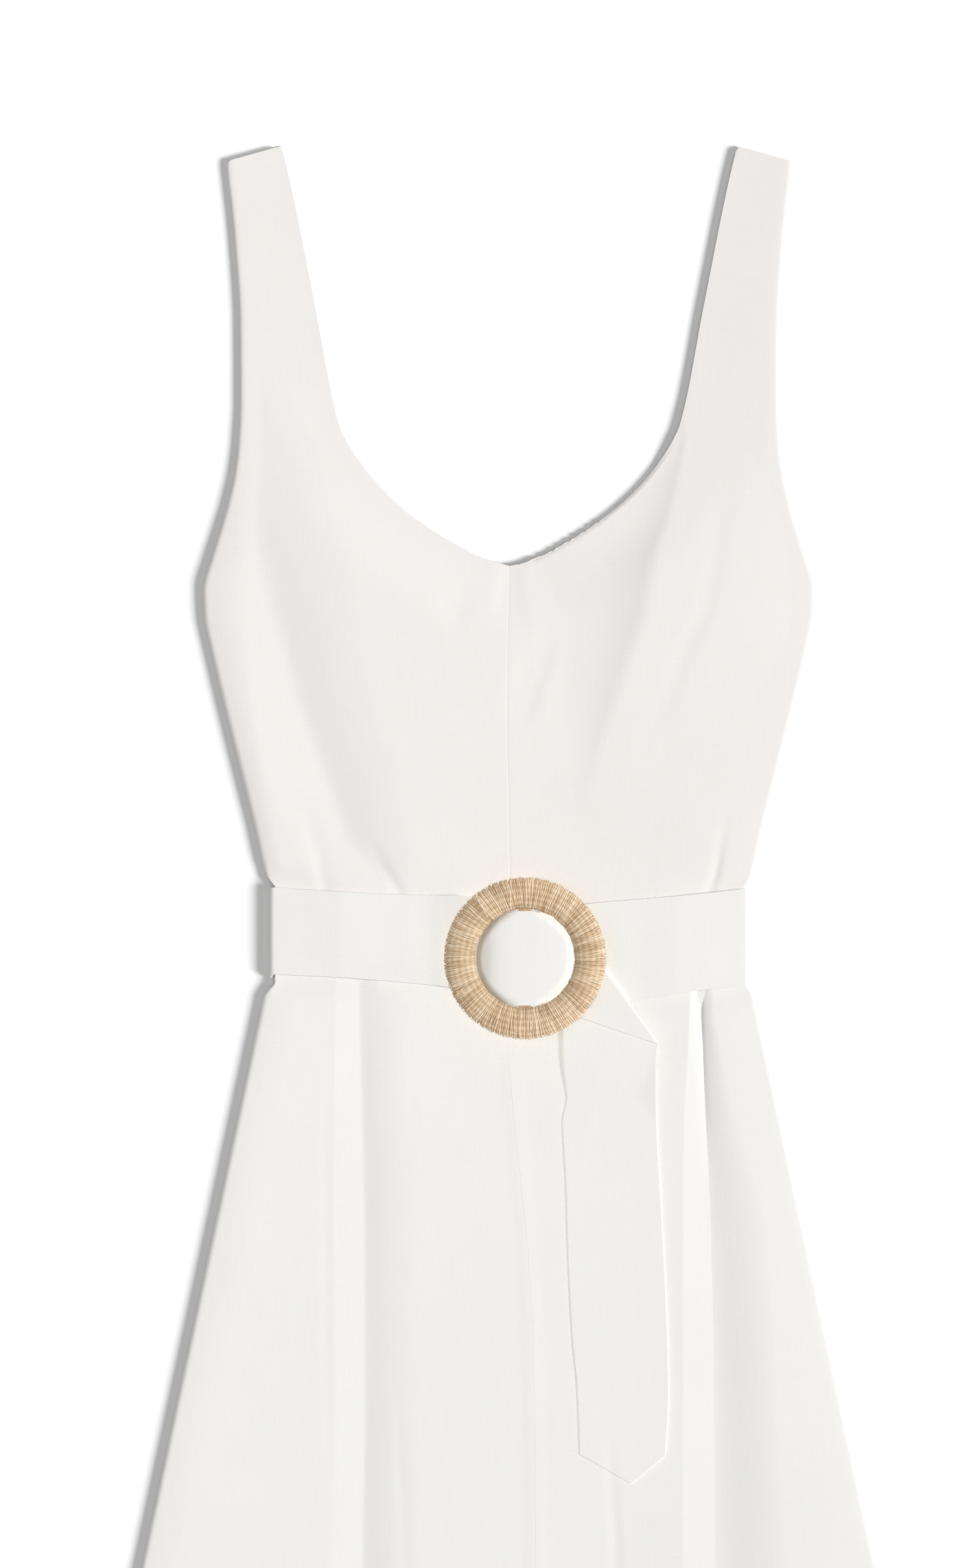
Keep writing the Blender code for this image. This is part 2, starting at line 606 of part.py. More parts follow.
def tail_height(point, out):
    """Height of the tail's middle: off the fold, down onto the belt and then the skirt."""
    start = Vector((TAIL_RUNGS[0].ax, TAIL_RUNGS[0].ay))
    away = -(point - start).dot(out)
    from_fold = TAIL_REST - 0.1 * away
    below = band_edge(point.x, "low") - TAIL_STEP - point.y
    on_belt = TAIL_REST * soft(1 - below / BELT_RAMP)
    on_skirt = front_under(point.x, point.y) + CLOTH + 2 * SEAM + BELT_CLOTH / 2
    return max(from_fold, on_belt, on_skirt)


def ring_buckle(collection, cutters):
    """The wrapped ring, oval in section, with the flat bar that the belt hangs on."""
    width = (RING_OUTER - RING_HOLE) / 2
    bpy.ops.mesh.primitive_torus_add(
        major_radius=(RING_OUTER - width) * MM, minor_radius=width * MM,
        major_segments=48, minor_segments=12,
    )
    ring = bpy.context.object
    ring.name = ring.data.name = "ring_buckle"
    for point in ring.data.vertices:
        point.co.z *= RING_HIGH / 2 / width
    ring.location = Vector((RING_X, RING_Y, RING_LOWEST + RING_HIGH / 2)) * MM
    ring.data.materials.append(finish(JUTE))
    ring.data.shade_smooth()
    move_to(ring, collection)

    bpy.ops.mesh.primitive_cube_add(size=1.0)
    bar = bpy.context.object
    bar.name = "bar"
    size = Vector((BAR_WIDE, 2 * (RING_HOLE + BAR_BED), BAR_THICK)) * MM
    for point in bar.data.vertices:
        point.co = Vector(a * b for a, b in zip(point.co, size))
    bar.location = Vector((RING_X, RING_Y, BELT_REST + BAR_OVER_BELT + BAR_THICK / 2)) * MM
    bar.hide_render = True
    bar.display_type = "WIRE"
    move_to(bar, cutters)

    join = ring.modifiers.new("Bar", "BOOLEAN")
    join.operation = "UNION"
    join.object = bar
    return ring


def move_to(made, collection):
    """Takes an object out of the scene's collection and puts it in another."""
    for old in list(made.users_collection):
        old.objects.unlink(made)
    collection.objects.link(made)


def main():
    for old in list(bpy.data.objects):
        bpy.data.objects.remove(old)
    dress = bpy.data.collections.new("linen_dress")
    cutters = bpy.data.collections.new("cutters")
    bpy.context.scene.collection.children.link(dress)
    bpy.context.scene.collection.children.link(cutters)

    back_bodice(dress)
    back_skirt(dress)
    bodice_half("front_bodice_left", -1, dress)
    bodice_half("front_bodice_right", 1, dress)
    skirt_half("front_skirt_left", -1, LEFT_PLEAT,
               [("crest", 5), ("foot", 6), ("start", 2), ("rim", 6), ("side", 1)], dress)
    skirt_half("front_skirt_right", 1, RIGHT_PLEAT,
               [("start", 6), ("foot", 3), ("crest", 6), ("rim", 4), ("side", 1)], dress)
    belt_band(dress)
    belt_end(dress)
    ring_buckle(dress, cutters)


main()
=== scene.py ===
"""Looks of a sleeveless linen dress with a ring buckle, laid flat with its front up.

Metres, +Z up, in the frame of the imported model: X runs across the dress, Y up it from the
hem to the shoulders, and Z off the floor. Fields and tables are in millimetres, and MM
turns them into metres when a mesh is made.
"""

import logging
import math
import random
from dataclasses import dataclass
from enum import Enum
from typing import Any, NamedTuple, Sequence

import bmesh
import bpy
import numpy as np
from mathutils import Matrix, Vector


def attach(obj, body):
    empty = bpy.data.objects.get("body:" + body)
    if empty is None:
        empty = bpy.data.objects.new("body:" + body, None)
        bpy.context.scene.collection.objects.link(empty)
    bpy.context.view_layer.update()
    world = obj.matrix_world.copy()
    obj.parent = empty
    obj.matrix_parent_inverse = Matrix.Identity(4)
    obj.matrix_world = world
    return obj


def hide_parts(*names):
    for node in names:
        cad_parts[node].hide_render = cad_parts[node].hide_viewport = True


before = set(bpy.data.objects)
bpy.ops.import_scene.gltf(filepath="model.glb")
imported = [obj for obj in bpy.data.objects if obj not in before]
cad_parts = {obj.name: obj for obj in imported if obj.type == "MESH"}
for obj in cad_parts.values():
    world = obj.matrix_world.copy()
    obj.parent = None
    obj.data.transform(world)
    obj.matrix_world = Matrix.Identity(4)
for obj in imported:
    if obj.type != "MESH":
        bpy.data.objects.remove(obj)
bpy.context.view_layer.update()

MM = 0.001
TINY = 1e-9
BODY = "root"
LOG = logging.getLogger("linen_dress")

# Columns of the front's grids that lie along a rim, by their distance from it
RIM_STEPS = (0.0, 0.12, 0.4, 0.85, 1.6, 3.0)

Array = np.ndarray


class Slot(Enum):
    """The record's material slots."""

    LINEN = "linen"
    BELT = "belt_linen"
    JUTE = "jute"


class Hand(Enum):
    """A half of the front, as the picture shows it."""

    LEFT = -1
    RIGHT = 1


class Section(Enum):
    """How a crease is shaped across its line."""

    SOFT = "soft"
    SHARP = "sharp"


class Steep(Enum):
    """Where a fold's climb is steepest."""

    FOOT = "foot"
    CREST = "crest"


class Width(NamedTuple):
    """A place across at a height."""

    y: float
    x: float


class Fold(NamedTuple):
    """A row of a fold: the cloth falls from its start to its foot, and climbs to its crest."""

    y: float
    start: float
    foot: float
    crest: float
    end: float
    fall: float
    climb: float
    blunt: float


class Loft(NamedTuple):
    """How the front stands over the back at a height: in all, at its rim, and how soon."""

    y: float
    high: float
    rim: float
    left: float
    right: float


class Band(NamedTuple):
    """The belt's upper and lower edge at a place across."""

    x: float
    high: float
    low: float


class Climb(NamedTuple):
    """How far the belt has risen over its rest at a place across."""

    x: float
    rise: float


class Rung(NamedTuple):
    """A line across the belt's free end, from its first edge to its second."""

    ax: float
    ay: float
    bx: float
    by: float


class Knot(NamedTuple):
    """A point of a crease, with its depth there and its reach to the left and right."""

    x: float
    y: float
    depth: float
    left: float
    right: float


# Half width of the dress from hem to shoulder, drawn in where the belt grips it
SIDE = (
    Width(-610.0, 306.5), Width(90.0, 156.9), Width(95.0, 153.4), Width(99.0, 150.4),
    Width(161.5, 150.4), Width(166.0, 154.2), Width(201.7, 163.1), Width(276.4, 181.8),
    Width(313.8, 190.7), Width(334.0, 194.8), Width(351.0, 195.4), Width(369.8, 190.5),
    Width(388.5, 184.7), Width(407.2, 179.3), Width(425.8, 175.3), Width(444.5, 173.1),
    Width(470.0, 171.8), Width(520.0, 172.1), Width(575.2, 175.5), Width(620.0, 180.3),
)

# Half width of the neck opening from its point to the shoulder
NECK = (
    Width(366.1, 0.0), Width(369.8, 14.3), Width(382.3, 38.4), Width(394.7, 57.3),
    Width(407.2, 72.6), Width(419.6, 84.9), Width(432.1, 95.0), Width(444.5, 103.3),
    Width(457.0, 109.1), Width(531.7, 124.1), Width(606.4, 139.0), Width(635.0, 145.7),
)

# Centre-front seam, which wanders as the cloth lies
CENTRE = (
    Width(-635.0, 18.0), Width(-233.0, 16.6), Width(-138.0, 15.4), Width(-83.0, 12.5),
    Width(24.9, 1.7), Width(60.6, -1.2), Width(163.0, 0.2), Width(282.0, -1.6),
    Width(366.1, 0.0),
)

# Loft of the front over the back. From the rim it rises over the left or right distance
LOFTS = (
    Loft(-635.0, 2.4, 1.2, 25.0, 60.0), Loft(-200.0, 2.7, 1.6, 25.0, 60.0),
    Loft(90.0, 2.7, 1.6, 24.0, 45.0), Loft(165.0, 3.0, 1.4, 12.0, 50.0),
    Loft(230.0, 3.4, 1.6, 14.0, 60.0), Loft(320.0, 3.5, 1.5, 22.0, 70.0),
    Loft(370.0, 3.0, 1.4, 22.0, 60.0), Loft(410.0, 1.8, 1.1, 16.0, 30.0),
    Loft(450.0, 1.0, 0.8, 6.0, 10.0), Loft(520.0, 0.8, 0.6, 4.0, 6.0),
    Loft(635.0, 0.8, 0.6, 4.0, 6.0),
)

# Folds of the bodice, whose climb is steep at the foot or at the crest
LEFT_FOLD = (
    Fold(158.0, -118.0, -82.0, -66.0, -36.0, 0.4, 1.2, 0.10),
    Fold(168.5, -128.0, -85.5, -60.0, -20.0, 0.7, 1.7, 0.10),
    Fold(189.3, -140.0, -102.0, -62.0, 0.0, 1.2, 2.9, 0.14),
    Fold(210.0, -148.0, -110.5, -66.0, 15.0, 1.6, 3.5, 0.16),
    Fold(230.8, -155.0, -118.5, -68.0, 25.0, 1.7, 3.9, 0.16),
    Fold(272.3, -165.0, -133.0, -80.0, 35.0, 1.5, 4.2, 0.16),
    Fold(313.8, -170.0, -144.5, -92.0, 35.0, 1.1, 4.2, 0.16),
    Fold(355.3, -172.0, -156.5, -98.0, 25.0, 0.6, 3.9, 0.16),
    Fold(396.8, -174.0, -162.5, -114.0, 0.0, 0.3, 2.6, 0.14),
    Fold(438.3, -171.0, -160.0, -122.0, -60.0, 0.1, 1.2, 0.14),
    Fold(480.0, -170.0, -160.5, -140.0, -120.0, 0.05, 0.3, 0.14),
    Fold(500.0, -170.0, -160.5, -140.0, -120.0, 0.0, 0.0, 0.14),
)
RIGHT_FOLD = (
    Fold(205.0, 30.0, 40.0, 50.0, 90.0, 0.0, 0.0, 0.0),
    Fold(230.8, 28.0, 40.0, 53.0, 120.0, 0.1, 0.4, 0.0),
    Fold(272.3, 22.0, 38.0, 65.0, 150.0, 0.3, 1.7, 0.0),
    Fold(313.8, 15.0, 35.5, 78.5, 175.0, 0.5, 3.2, 0.0),
    Fold(334.5, 15.0, 40.0, 85.5, 180.0, 0.5, 3.7, 0.0),
    Fold(355.3, 20.0, 46.0, 89.5, 180.0, 0.5, 3.7, 0.0),
    Fold(376.0, 40.0, 62.0, 94.0, 178.0, 0.4, 2.9, 0.0),
    Fold(396.8, 60.0, 77.0, 101.5, 174.0, 0.2, 1.9, 0.0),
    Fold(413.4, 70.0, 83.0, 105.5, 168.0, 0.1, 1.5, 0.0),
    Fold(450.0, 90.0, 106.0, 112.0, 150.0, 0.0, 0.4, 0.0),
    Fold(470.0, 95.0, 106.0, 112.0, 150.0, 0.0, 0.0, 0.0),
)

# Long soft pleats of the skirt, steep at the foot
LEFT_PLEAT = (
    Fold(-635.0, -118.0, -95.5, -50.0, 90.0, 1.4, 2.9, 0.08),
    Fold(-265.0, -113.5, -93.8, -58.0, 80.0, 1.4, 2.9, 0.08),
    Fold(-165.0, -112.8, -92.6, -58.0, 80.0, 1.4, 2.8, 0.07),
    Fold(-56.0, -112.5, -92.8, -60.0, 80.0, 1.4, 2.7, 0.07),
    Fold(62.0, -111.5, -95.0, -66.0, 60.0, 1.3, 2.3, 0.06),
    Fold(92.0, -111.0, -95.5, -68.0, 40.0, 1.2, 1.8, 0.06),
    Fold(131.0, -111.0, -96.0, -70.0, 30.0, 0.9, 1.2, 0.06),
)
RIGHT_PLEAT = (
    Fold(-635.0, 108.0, 138.0, 205.0, 300.0, 2.4, 3.6, 0.60),
    Fold(-225.0, 111.0, 131.0, 173.0, 232.0, 2.2, 3.4, 0.45),
    Fold(-142.0, 111.0, 130.5, 169.0, 212.0, 2.2, 3.3, 0.40),
    Fold(-60.0, 111.0, 128.6, 163.0, 192.0, 2.2, 3.0, 0.22),
    Fold(-18.0, 111.0, 127.0, 153.5, 182.0, 2.2, 2.8, 0.16),
    Fold(23.0, 112.0, 124.6, 142.0, 172.0, 2.2, 2.6, 0.08),
    Fold(56.0, 114.0, 124.0, 136.0, 162.0, 2.2, 2.4, 0.05),
    Fold(81.0, 115.0, 122.8, 131.0, 155.0, 2.1, 2.2, 0.04),
    Fold(131.0, 116.0, 123.0, 131.0, 150.0, 1.5, 1.5, 0.04),
)

# Edges of the belt where it shows in front, from the sides in towards the ring
BAND_LEFT = (
    Band(-153.0, 160.7, 105.1), Band(-110.0, 157.8, 103.2), Band(-60.0, 155.7, 99.3),
    Band(-30.0, 155.3, 96.0),
)
BAND_RIGHT = (
    Band(4.0, 144.0, 87.2), Band(24.0, 145.0, 86.5), Band(34.0, 147.0, 85.0),
    Band(52.0, 150.3, 84.5), Band(76.0, 152.4, 88.0), Band(104.0, 154.7, 92.6),
    Band(153.0, 159.8, 98.4),
)

# Rise of the belt on its way up over the bar, from the left, and down again: under the
# ring, and in its hole
CLIMB = (
    Climb(-60.0, 0.0), Climb(-48.0, 0.2), Climb(-42.0, 0.8), Climb(-30.0, 2.2),
    Climb(-21.0, 3.1), Climb(-15.0, 3.35), Climb(-10.0, 3.9), Climb(-5.0, 5.8),
    Climb(0.0, 8.2), Climb(4.5, 10.2), Climb(6.5, 10.5), Climb(15.5, 10.5),
    Climb(18.0, 9.9), Climb(21.0, 8.2), Climb(24.6, 5.8), Climb(28.0, 4.0),
    Climb(30.5, 3.5), Climb(33.0, 3.4),
)

MIDDLE_CLIMB = (
    Climb(-60.0, 0.0), Climb(-48.0, 0.2), Climb(-42.0, 0.8), Climb(-30.0, 2.2),
    Climb(-26.0, 3.3), Climb(-21.0, 5.0), Climb(-16.0, 7.4), Climb(-11.0, 9.3),
    Climb(-5.0, 10.2), Climb(2.0, 10.5), Climb(16.0, 10.5), Climb(24.0, 10.35),
    Climb(30.0, 10.1), Climb(35.0, 9.8), Climb(39.0, 9.4), Climb(44.0, 9.0),
)

# Rise of the belt's sewn end, from its hook on the bar down to the dress
SEWN_HOOK = (
    Climb(15.5, 8.8), Climb(5.8, 8.8), Climb(5.1, 8.5), Climb(4.8, 7.8),
    Climb(4.8, 5.6), Climb(5.1, 4.9), Climb(5.8, 4.6), Climb(13.5, 4.6),
    Climb(20.0, 3.0), Climb(26.0, 0.8), Climb(31.0, 0.0),
)

# Lines across the free end. The first edge is the upper one beside the ring and the left
# one in the tail, and the second is the other
PASS_RUNGS = (
    Rung(-29.7, 155.3, -29.7, 96.0), Rung(-21.0, 154.6, -21.0, 92.5),
    Rung(-15.0, 150.0, -15.0, 89.5), Rung(-10.0, 146.0, -10.0, 88.0),
    Rung(-5.0, 144.6, -5.0, 87.0), Rung(0.0, 144.3, 0.0, 87.0),
    Rung(5.0, 145.7, 5.0, 85.6), Rung(14.5, 145.7, 14.5, 85.6),
    Rung(18.5, 144.3, 19.5, 87.0), Rung(22.0, 143.8, 25.0, 88.0),
    Rung(25.0, 144.4, 31.0, 86.0), Rung(28.0, 144.5, 42.0, 79.4),
    Rung(30.5, 144.6, 58.0, 73.3), Rung(32.5, 144.8, 76.0, 67.2),
    Rung(34.0, 144.9, 94.2, 61.1),
)
TAIL_RUNGS = (
    Rung(34.0, 144.9, 94.2, 61.1), Rung(34.2, 112.0, 93.6, 56.0),
    Rung(34.3, 80.0, 93.2, 47.0), Rung(34.6, 52.0, 93.2, 35.0),
    Rung(36.9, 26.0, 93.4, 20.0), Rung(34.2, 10.0, 93.9, 3.4),
    Rung(36.3, -29.4, 95.7, -28.0), Rung(37.4, -66.0, 97.8, -66.0),
    Rung(40.3, -124.5, 100.5, -124.5), Rung(43.6, -160.6, 101.3, -160.6),
    Rung(45.2, -201.6, 99.2, -202.5),
)


def soft(t: Array) -> Array:
    """A smooth step from 0 to 1."""
    t = np.clip(t, 0.0, 1.0)
    return t * t * (3 - 2 * t)


class Curve:
    """A smooth curve through places and values, which never overshoots them."""

    def __init__(self, places: Sequence[float], values: Sequence[float]) -> None:
        """Works out the curve's slope at each place.

        Args:
            places: Rising places.
            values: The value at each.
        """
        self.places = np.array(places, dtype=float)
        self.values = np.array(values, dtype=float)
        steps = np.diff(self.values) / np.diff(self.places)
        before, after = steps[:-1], steps[1:]
        same_way = before * after > 0
        total = np.where(same_way, before + after, 1.0)
        middle = np.where(same_way, 2 * before * after / total, 0.0)
        self.slopes = np.concatenate((steps[:1], middle, steps[-1:]))

    def __call__(self, at: Array | float) -> Array:
        """The curve's value.

        Args:
            at: Places, held at the curve's ends.

        Returns:
            The value at each.
        """
        at = np.clip(at, self.places[0], self.places[-1])
        i = np.clip(np.searchsorted(self.places, at, side="right") - 1, 0, len(self.places) - 2)
        span = self.places[i + 1] - self.places[i]
        t = (at - self.places[i]) / span
        return (
            self.values[i] * (1 + 2 * t) * (1 - t) ** 2
            + self.values[i + 1] * t * t * (3 - 2 * t)
            + self.slopes[i] * span * t * (1 - t) ** 2
            - self.slopes[i + 1] * span * t * t * (1 - t)
        )


def curve(rows: Sequence[Any], column: str, key: str = "y") -> Curve:
    """The smooth curve of one column of a table against another."""
    return Curve([getattr(row, key) for row in rows], [getattr(row, column) for row in rows])


@dataclass(frozen=True)
class Crease:
    """A trough along a given line, or a ridge where its depth is negative."""

    knots: tuple[Knot, ...]
    section: Section = Section.SOFT
    samples: int = 8

    def height(self, x: Array, y: Array) -> Array:
        """The crease's height over places.

        Args:
            x: Places across.
            y: Places up the dress.

        Returns:
            Millimetres above the uncreased cloth.
        """
        spans = len(self.knots) - 1
        steps = np.linspace(0, spans, self.samples * spans + 1)
        line = {
            name: Curve(range(spans + 1), [getattr(knot, name) for knot in self.knots])(steps)
            for name in Knot._fields
        }
        nearest = np.full(x.shape, np.inf)
        found = np.zeros(x.shape)
        for i in range(len(steps) - 1):
            dx, dy = line["x"][i + 1] - line["x"][i], line["y"][i + 1] - line["y"][i]
            from_x, from_y = x - line["x"][i], y - line["y"][i]
            t = np.clip((from_x * dx + from_y * dy) / (dx * dx + dy * dy), 0.0, 1.0)
            gap = np.hypot(from_x - t * dx, from_y - t * dy)
            on_left = dx * from_y - dy * from_x > 0
            left = line["left"][i] + (line["left"][i + 1] - line["left"][i]) * t
            right = line["right"][i] + (line["right"][i + 1] - line["right"][i]) * t
            depth = line["depth"][i] + (line["depth"][i + 1] - line["depth"][i]) * t
            share = np.clip(gap / np.where(on_left, left, right), 0.0, 1.0)
            across = (1 - share**2) ** 2 if self.section is Section.SOFT else (1 - share) ** 2
            found = np.where(gap < nearest, -depth * across, found)
            nearest = np.minimum(nearest, gap)
        return found


# Smaller creases of the front, over its folds, each from its lower end up
BODICE_CREASES = (
    Crease((
        Knot(-68.0, 156.0, 1.0, 10.0, 4.0), Knot(-73.5, 163.0, 1.4, 11.0, 4.5),
        Knot(-79.0, 172.0, 1.1, 12.0, 5.0), Knot(-90.0, 192.0, 0.0, 12.0, 8.0),
    ), Section.SHARP),
    Crease((
        Knot(-118.4, 158.0, 0.5, 5.0, 8.0), Knot(-122.0, 178.0, 0.45, 6.0, 9.0),
        Knot(-128.0, 200.0, 0.25, 7.0, 9.0), Knot(-134.5, 218.0, 0.0, 7.0, 9.0),
    )),
    Crease((
        Knot(129.0, 157.0, 1.2, 7.0, 4.0), Knot(132.0, 169.0, 1.1, 7.0, 4.5),
        Knot(135.5, 189.0, 0.55, 8.0, 5.0), Knot(141.0, 214.0, 0.0, 8.0, 6.0),
    ), Section.SHARP),
    Crease((
        Knot(-38.0, 322.0, 0.0, 15.0, 11.0), Knot(-32.0, 340.0, 0.6, 20.0, 12.0),
        Knot(-22.0, 356.0, 0.0, 10.0, 14.0),
    )),
    Crease((
        Knot(8.0, 262.0, 0.0, 20.0, 8.0), Knot(13.0, 282.0, 0.45, 22.0, 9.0),
        Knot(20.0, 304.0, 0.55, 22.0, 10.0), Knot(28.0, 330.0, 0.0, 20.0, 10.0),
    )),
    Crease((
        Knot(84.0, 246.0, 0.0, 12.0, 6.0), Knot(98.0, 272.0, 0.2, 12.0, 6.0),
        Knot(114.0, 313.0, 0.36, 12.0, 6.0), Knot(127.0, 340.0, 0.38, 12.0, 6.0),
        Knot(131.0, 362.0, 0.3, 12.0, 7.0), Knot(134.0, 392.0, 0.22, 14.0, 10.0),
        Knot(140.0, 424.0, 0.0, 8.0, 14.0),
    )),
    Crease((
        Knot(-87.6, 158.2, 0.14, 1.8, 1.8), Knot(-97.0, 235.0, 0.12, 1.8, 1.8),
        Knot(-107.1, 304.2, 0.0, 1.8, 1.8),
    ), Section.SHARP),
    Crease((
        Knot(87.6, 158.2, 0.14, 1.8, 1.8), Knot(97.0, 235.0, 0.12, 1.8, 1.8),
        Knot(107.1, 304.2, 0.0, 1.8, 1.8),
    ), Section.SHARP),
)
SKIRT_CREASES = (
    Crease((
        Knot(-59.3, 14.2, 0.0, 2.5, 3.0), Knot(-62.5, 21.0, 0.3, 2.5, 3.0),
        Knot(-66.0, 27.4, 0.0, 2.5, 3.0),
    )),
    Crease((
        Knot(-62.0, -470.0, 0.0, 4.0, 7.0), Knot(-66.0, -300.0, 0.25, 4.0, 7.0),
        Knot(-70.0, -215.0, 0.2, 4.0, 7.0), Knot(-72.0, -150.0, 0.0, 4.0, 6.0),
    )),
    Crease((
        Knot(-112.0, -300.0, 0.0, 5.0, 6.0), Knot(-116.5, -120.0, 0.12, 6.0, 5.0),
        Knot(-117.0, -20.0, 0.1, 6.0, 5.0), Knot(-116.0, 60.0, 0.0, 5.0, 5.0),
    )),
    Crease((
        Knot(70.0, -400.0, 0.0, 5.0, 5.0), Knot(69.0, -320.0, 0.2, 5.0, 6.0),
        Knot(68.1, -270.5, 0.4, 5.0, 6.0), Knot(65.2, -224.5, 0.3, 5.0, 6.0),
        Knot(64.0, -190.0, 0.0, 5.0, 6.0),
    )),
    Crease((
        Knot(127.5, -30.0, 0.0, 6.0, 4.0), Knot(126.0, 10.0, 0.3, 6.0, 4.0),
        Knot(124.3, 45.0, 0.6, 6.0, 3.0), Knot(123.0, 75.0, 1.0, 6.0, 2.5),
        Knot(122.6, 97.0, 1.0, 5.0, 2.5),
    ), Section.SHARP),
    Crease((
        Knot(17.5, -560.0, 0.0, 9.0, 10.0), Knot(17.0, -300.0, -0.18, 9.0, 10.0),
        Knot(12.5, -100.0, -0.25, 8.0, 9.0), Knot(2.0, 24.0, -0.2, 7.0, 8.0),
        Knot(-1.5, 60.0, 0.0, 6.0, 6.0),
    )),
)


@dataclass(frozen=True)
class FoldForm:
    """A fold from its table, with where its climb is steep, and how steep."""

    rows: tuple[Fold, ...]
    steep: Steep
    power: float

    def line(self, name: str, y: Array) -> Array:
        """A column of the table at each height."""
        return curve(self.rows, name)(y)

    def height(self, x: Array, y: Array) -> Array:
        """The fold's height over places.

        Args:
            x: Places across.
            y: Places up the dress.

        Returns:
            Millimetres over the unfolded cloth.
        """
        start, foot, crest, end, fall, climb, blunt = (
            self.line(name, y) for name in Fold._fields[1:]
        )
        down = np.clip((x - start) / (foot - start), 0.0, 1.0)
        up = np.clip((x - foot) / (crest - foot), 0.0, 1.0)
        back = np.clip((x - crest) / (end - crest), 0.0, 1.0)
        if self.steep is Steep.FOOT:
            up = up * up / np.maximum(up + blunt * (1 - up), TINY)
            up = 1 - (1 - up) ** self.power
        else:
            up = up**self.power
        inside = (y > self.rows[0].y) & (y < self.rows[-1].y)
        return np.where(inside, climb * up - fall * down - (climb - fall) * back, 0.0)


@dataclass
class DressForm:
    """The dress's own form: its outline, its layers and the heights of its cloth."""

    cloth: float = 1.2
    belt_cloth: float = 1.4
    seam: float = 0.3
    seam_gap: float = 0.02
    bodice_seam_gap: float = 0.07
    edge_inset: float = 0.7
    top: float = 635.0
    hem: float = -635.0
    hem_rise: float = 25.0
    shoulder_drop: float = 9.5
    strap_from: float = 500.0
    waist: float = 131.2
    neck_point: float = 366.1
    back_neck_drop: float = 6.0
    held_loft: float = 2.0
    held_reach: float = 60.0
    rim_wide: float = 1.6
    front_rim: float = 0.05
    inset_reach: float = 20.0
    fold_fade: float = 6.0
    neck_reach: float = 50.0
    neck_samples: int = 90
    point_fade: float = 14.0
    belt_ramp: float = 13.0
    clear_below_belt: float = 2.0
    clear_above_belt: float = 3.0
    belt_back_high: float = 159.0
    belt_back_low: float = 100.5
    belt_turn: float = 150.2
    belt_slope: float = 45.0
    seam_dip: float = 0.1
    seam_reach: float = 1.0
    neck_rim: float = 0.4
    neck_sag: float = 1.4
    sag_reach: float = 3.2
    sag_end: float = 450.0
    sag_fade: float = 30.0
    hem_deep: float = 24.0
    hem_dip: float = 0.22
    hem_reach: float = 1.3
    ring_x: float = 9.8
    ring_y: float = 115.7
    climb_out: float = 31.4
    climb_fade: float = 3.6

    def __post_init__(self) -> None:
        """Works out the layers' heights and the curves of the tables."""
        self.back_lift = self.belt_cloth + self.seam
        self.belt_at_side = self.back_lift + 2 * (self.cloth + self.seam) + self.belt_cloth / 2
        self.belt_rest = self.belt_at_side + self.held_loft
        self.tail_rest = self.belt_rest + self.belt_cloth + self.seam
        self.ply_height = self.tail_rest + self.belt_cloth + self.seam
        self.fold_radius = (self.ply_height - self.tail_rest) / 2
        self.side_curve = curve(SIDE, "x")
        self.neck = curve(NECK, "x")
        self.centre = curve(CENTRE, "x")
        self.lofts = {name: curve(LOFTS, name) for name in Loft._fields[1:]}
        self.bodice_folds = (
            FoldForm(LEFT_FOLD, Steep.FOOT, 2.2), FoldForm(RIGHT_FOLD, Steep.CREST, 2.6),
        )
        self.pleats = {
            Hand.LEFT: FoldForm(LEFT_PLEAT, Steep.FOOT, 2.2),
            Hand.RIGHT: FoldForm(RIGHT_PLEAT, Steep.FOOT, 2.0),
        }
        self.edge_climb = curve(CLIMB, "rise", "x")
        self.middle_climb = curve(MIDDLE_CLIMB, "rise", "x")

    def side(self, y: Array) -> Array:
        """Half width of the dress at a height, straight down the skirt."""
        low, high = SIDE[0], SIDE[1]
        straight = low.x + (high.x - low.x) * (y - low.y) / (high.y - low.y)
        return np.where(y < high.y, straight, self.side_curve(y))

    def neck_gap(self, x: Array, y: Array) -> Array:
        """Distance from the neck's edge."""
        heights = np.linspace(self.neck_point, self.top, self.neck_samples)
        edge = self.neck(heights)
        gap = np.full(x.shape, np.inf)
        for edge_x, edge_y in zip(edge, heights):
            gap = np.minimum(gap, np.hypot(np.abs(x) - edge_x, y - edge_y))
        return gap

    def band_edge(self, x: Array | float, edge: str) -> Array:
        """Height of the belt's upper or lower edge in front.

        Args:
            x: Places across.
            edge: The table's column, high or low.

        Returns:
            The edge's height up the dress at each.
        """
        inner_left, inner_right = BAND_LEFT[-1], BAND_RIGHT[2]
        share = soft((x - inner_left.x) / (inner_right.x - inner_left.x))
        start, end = getattr(inner_left, edge), getattr(inner_right, edge)
        middle = start + (end - start) * share
        left = curve(BAND_LEFT, edge, "x")(x)
        right = curve(BAND_RIGHT, edge, "x")(x)
        return np.where(x < inner_left.x, left, np.where(x > inner_right.x, right, middle))

    def pressed(self, y: Array, low: Array | float, high: Array | float) -> Array:
        """1 where the belt holds the cloth, 0 a ramp's length away from it."""
        ramp = self.belt_ramp
        return soft(1 - (low - y) / ramp) * soft(1 - (y - high) / ramp)

    def back_under(self, y: Array) -> Array:
        """Height of the back's underside, flat but for its climb over the belt."""
        low = self.belt_back_low - self.clear_below_belt
        high = self.belt_back_high + self.clear_above_belt
        return self.back_lift * self.pressed(y, low, high)

    def rim_share(self, gap: Array, wide: float) -> Array:
        """A round rim's rise from 0 to 1 over its width."""
        return np.sqrt(1 - (1 - np.clip(gap / wide, 0.0, 1.0)) ** 2)

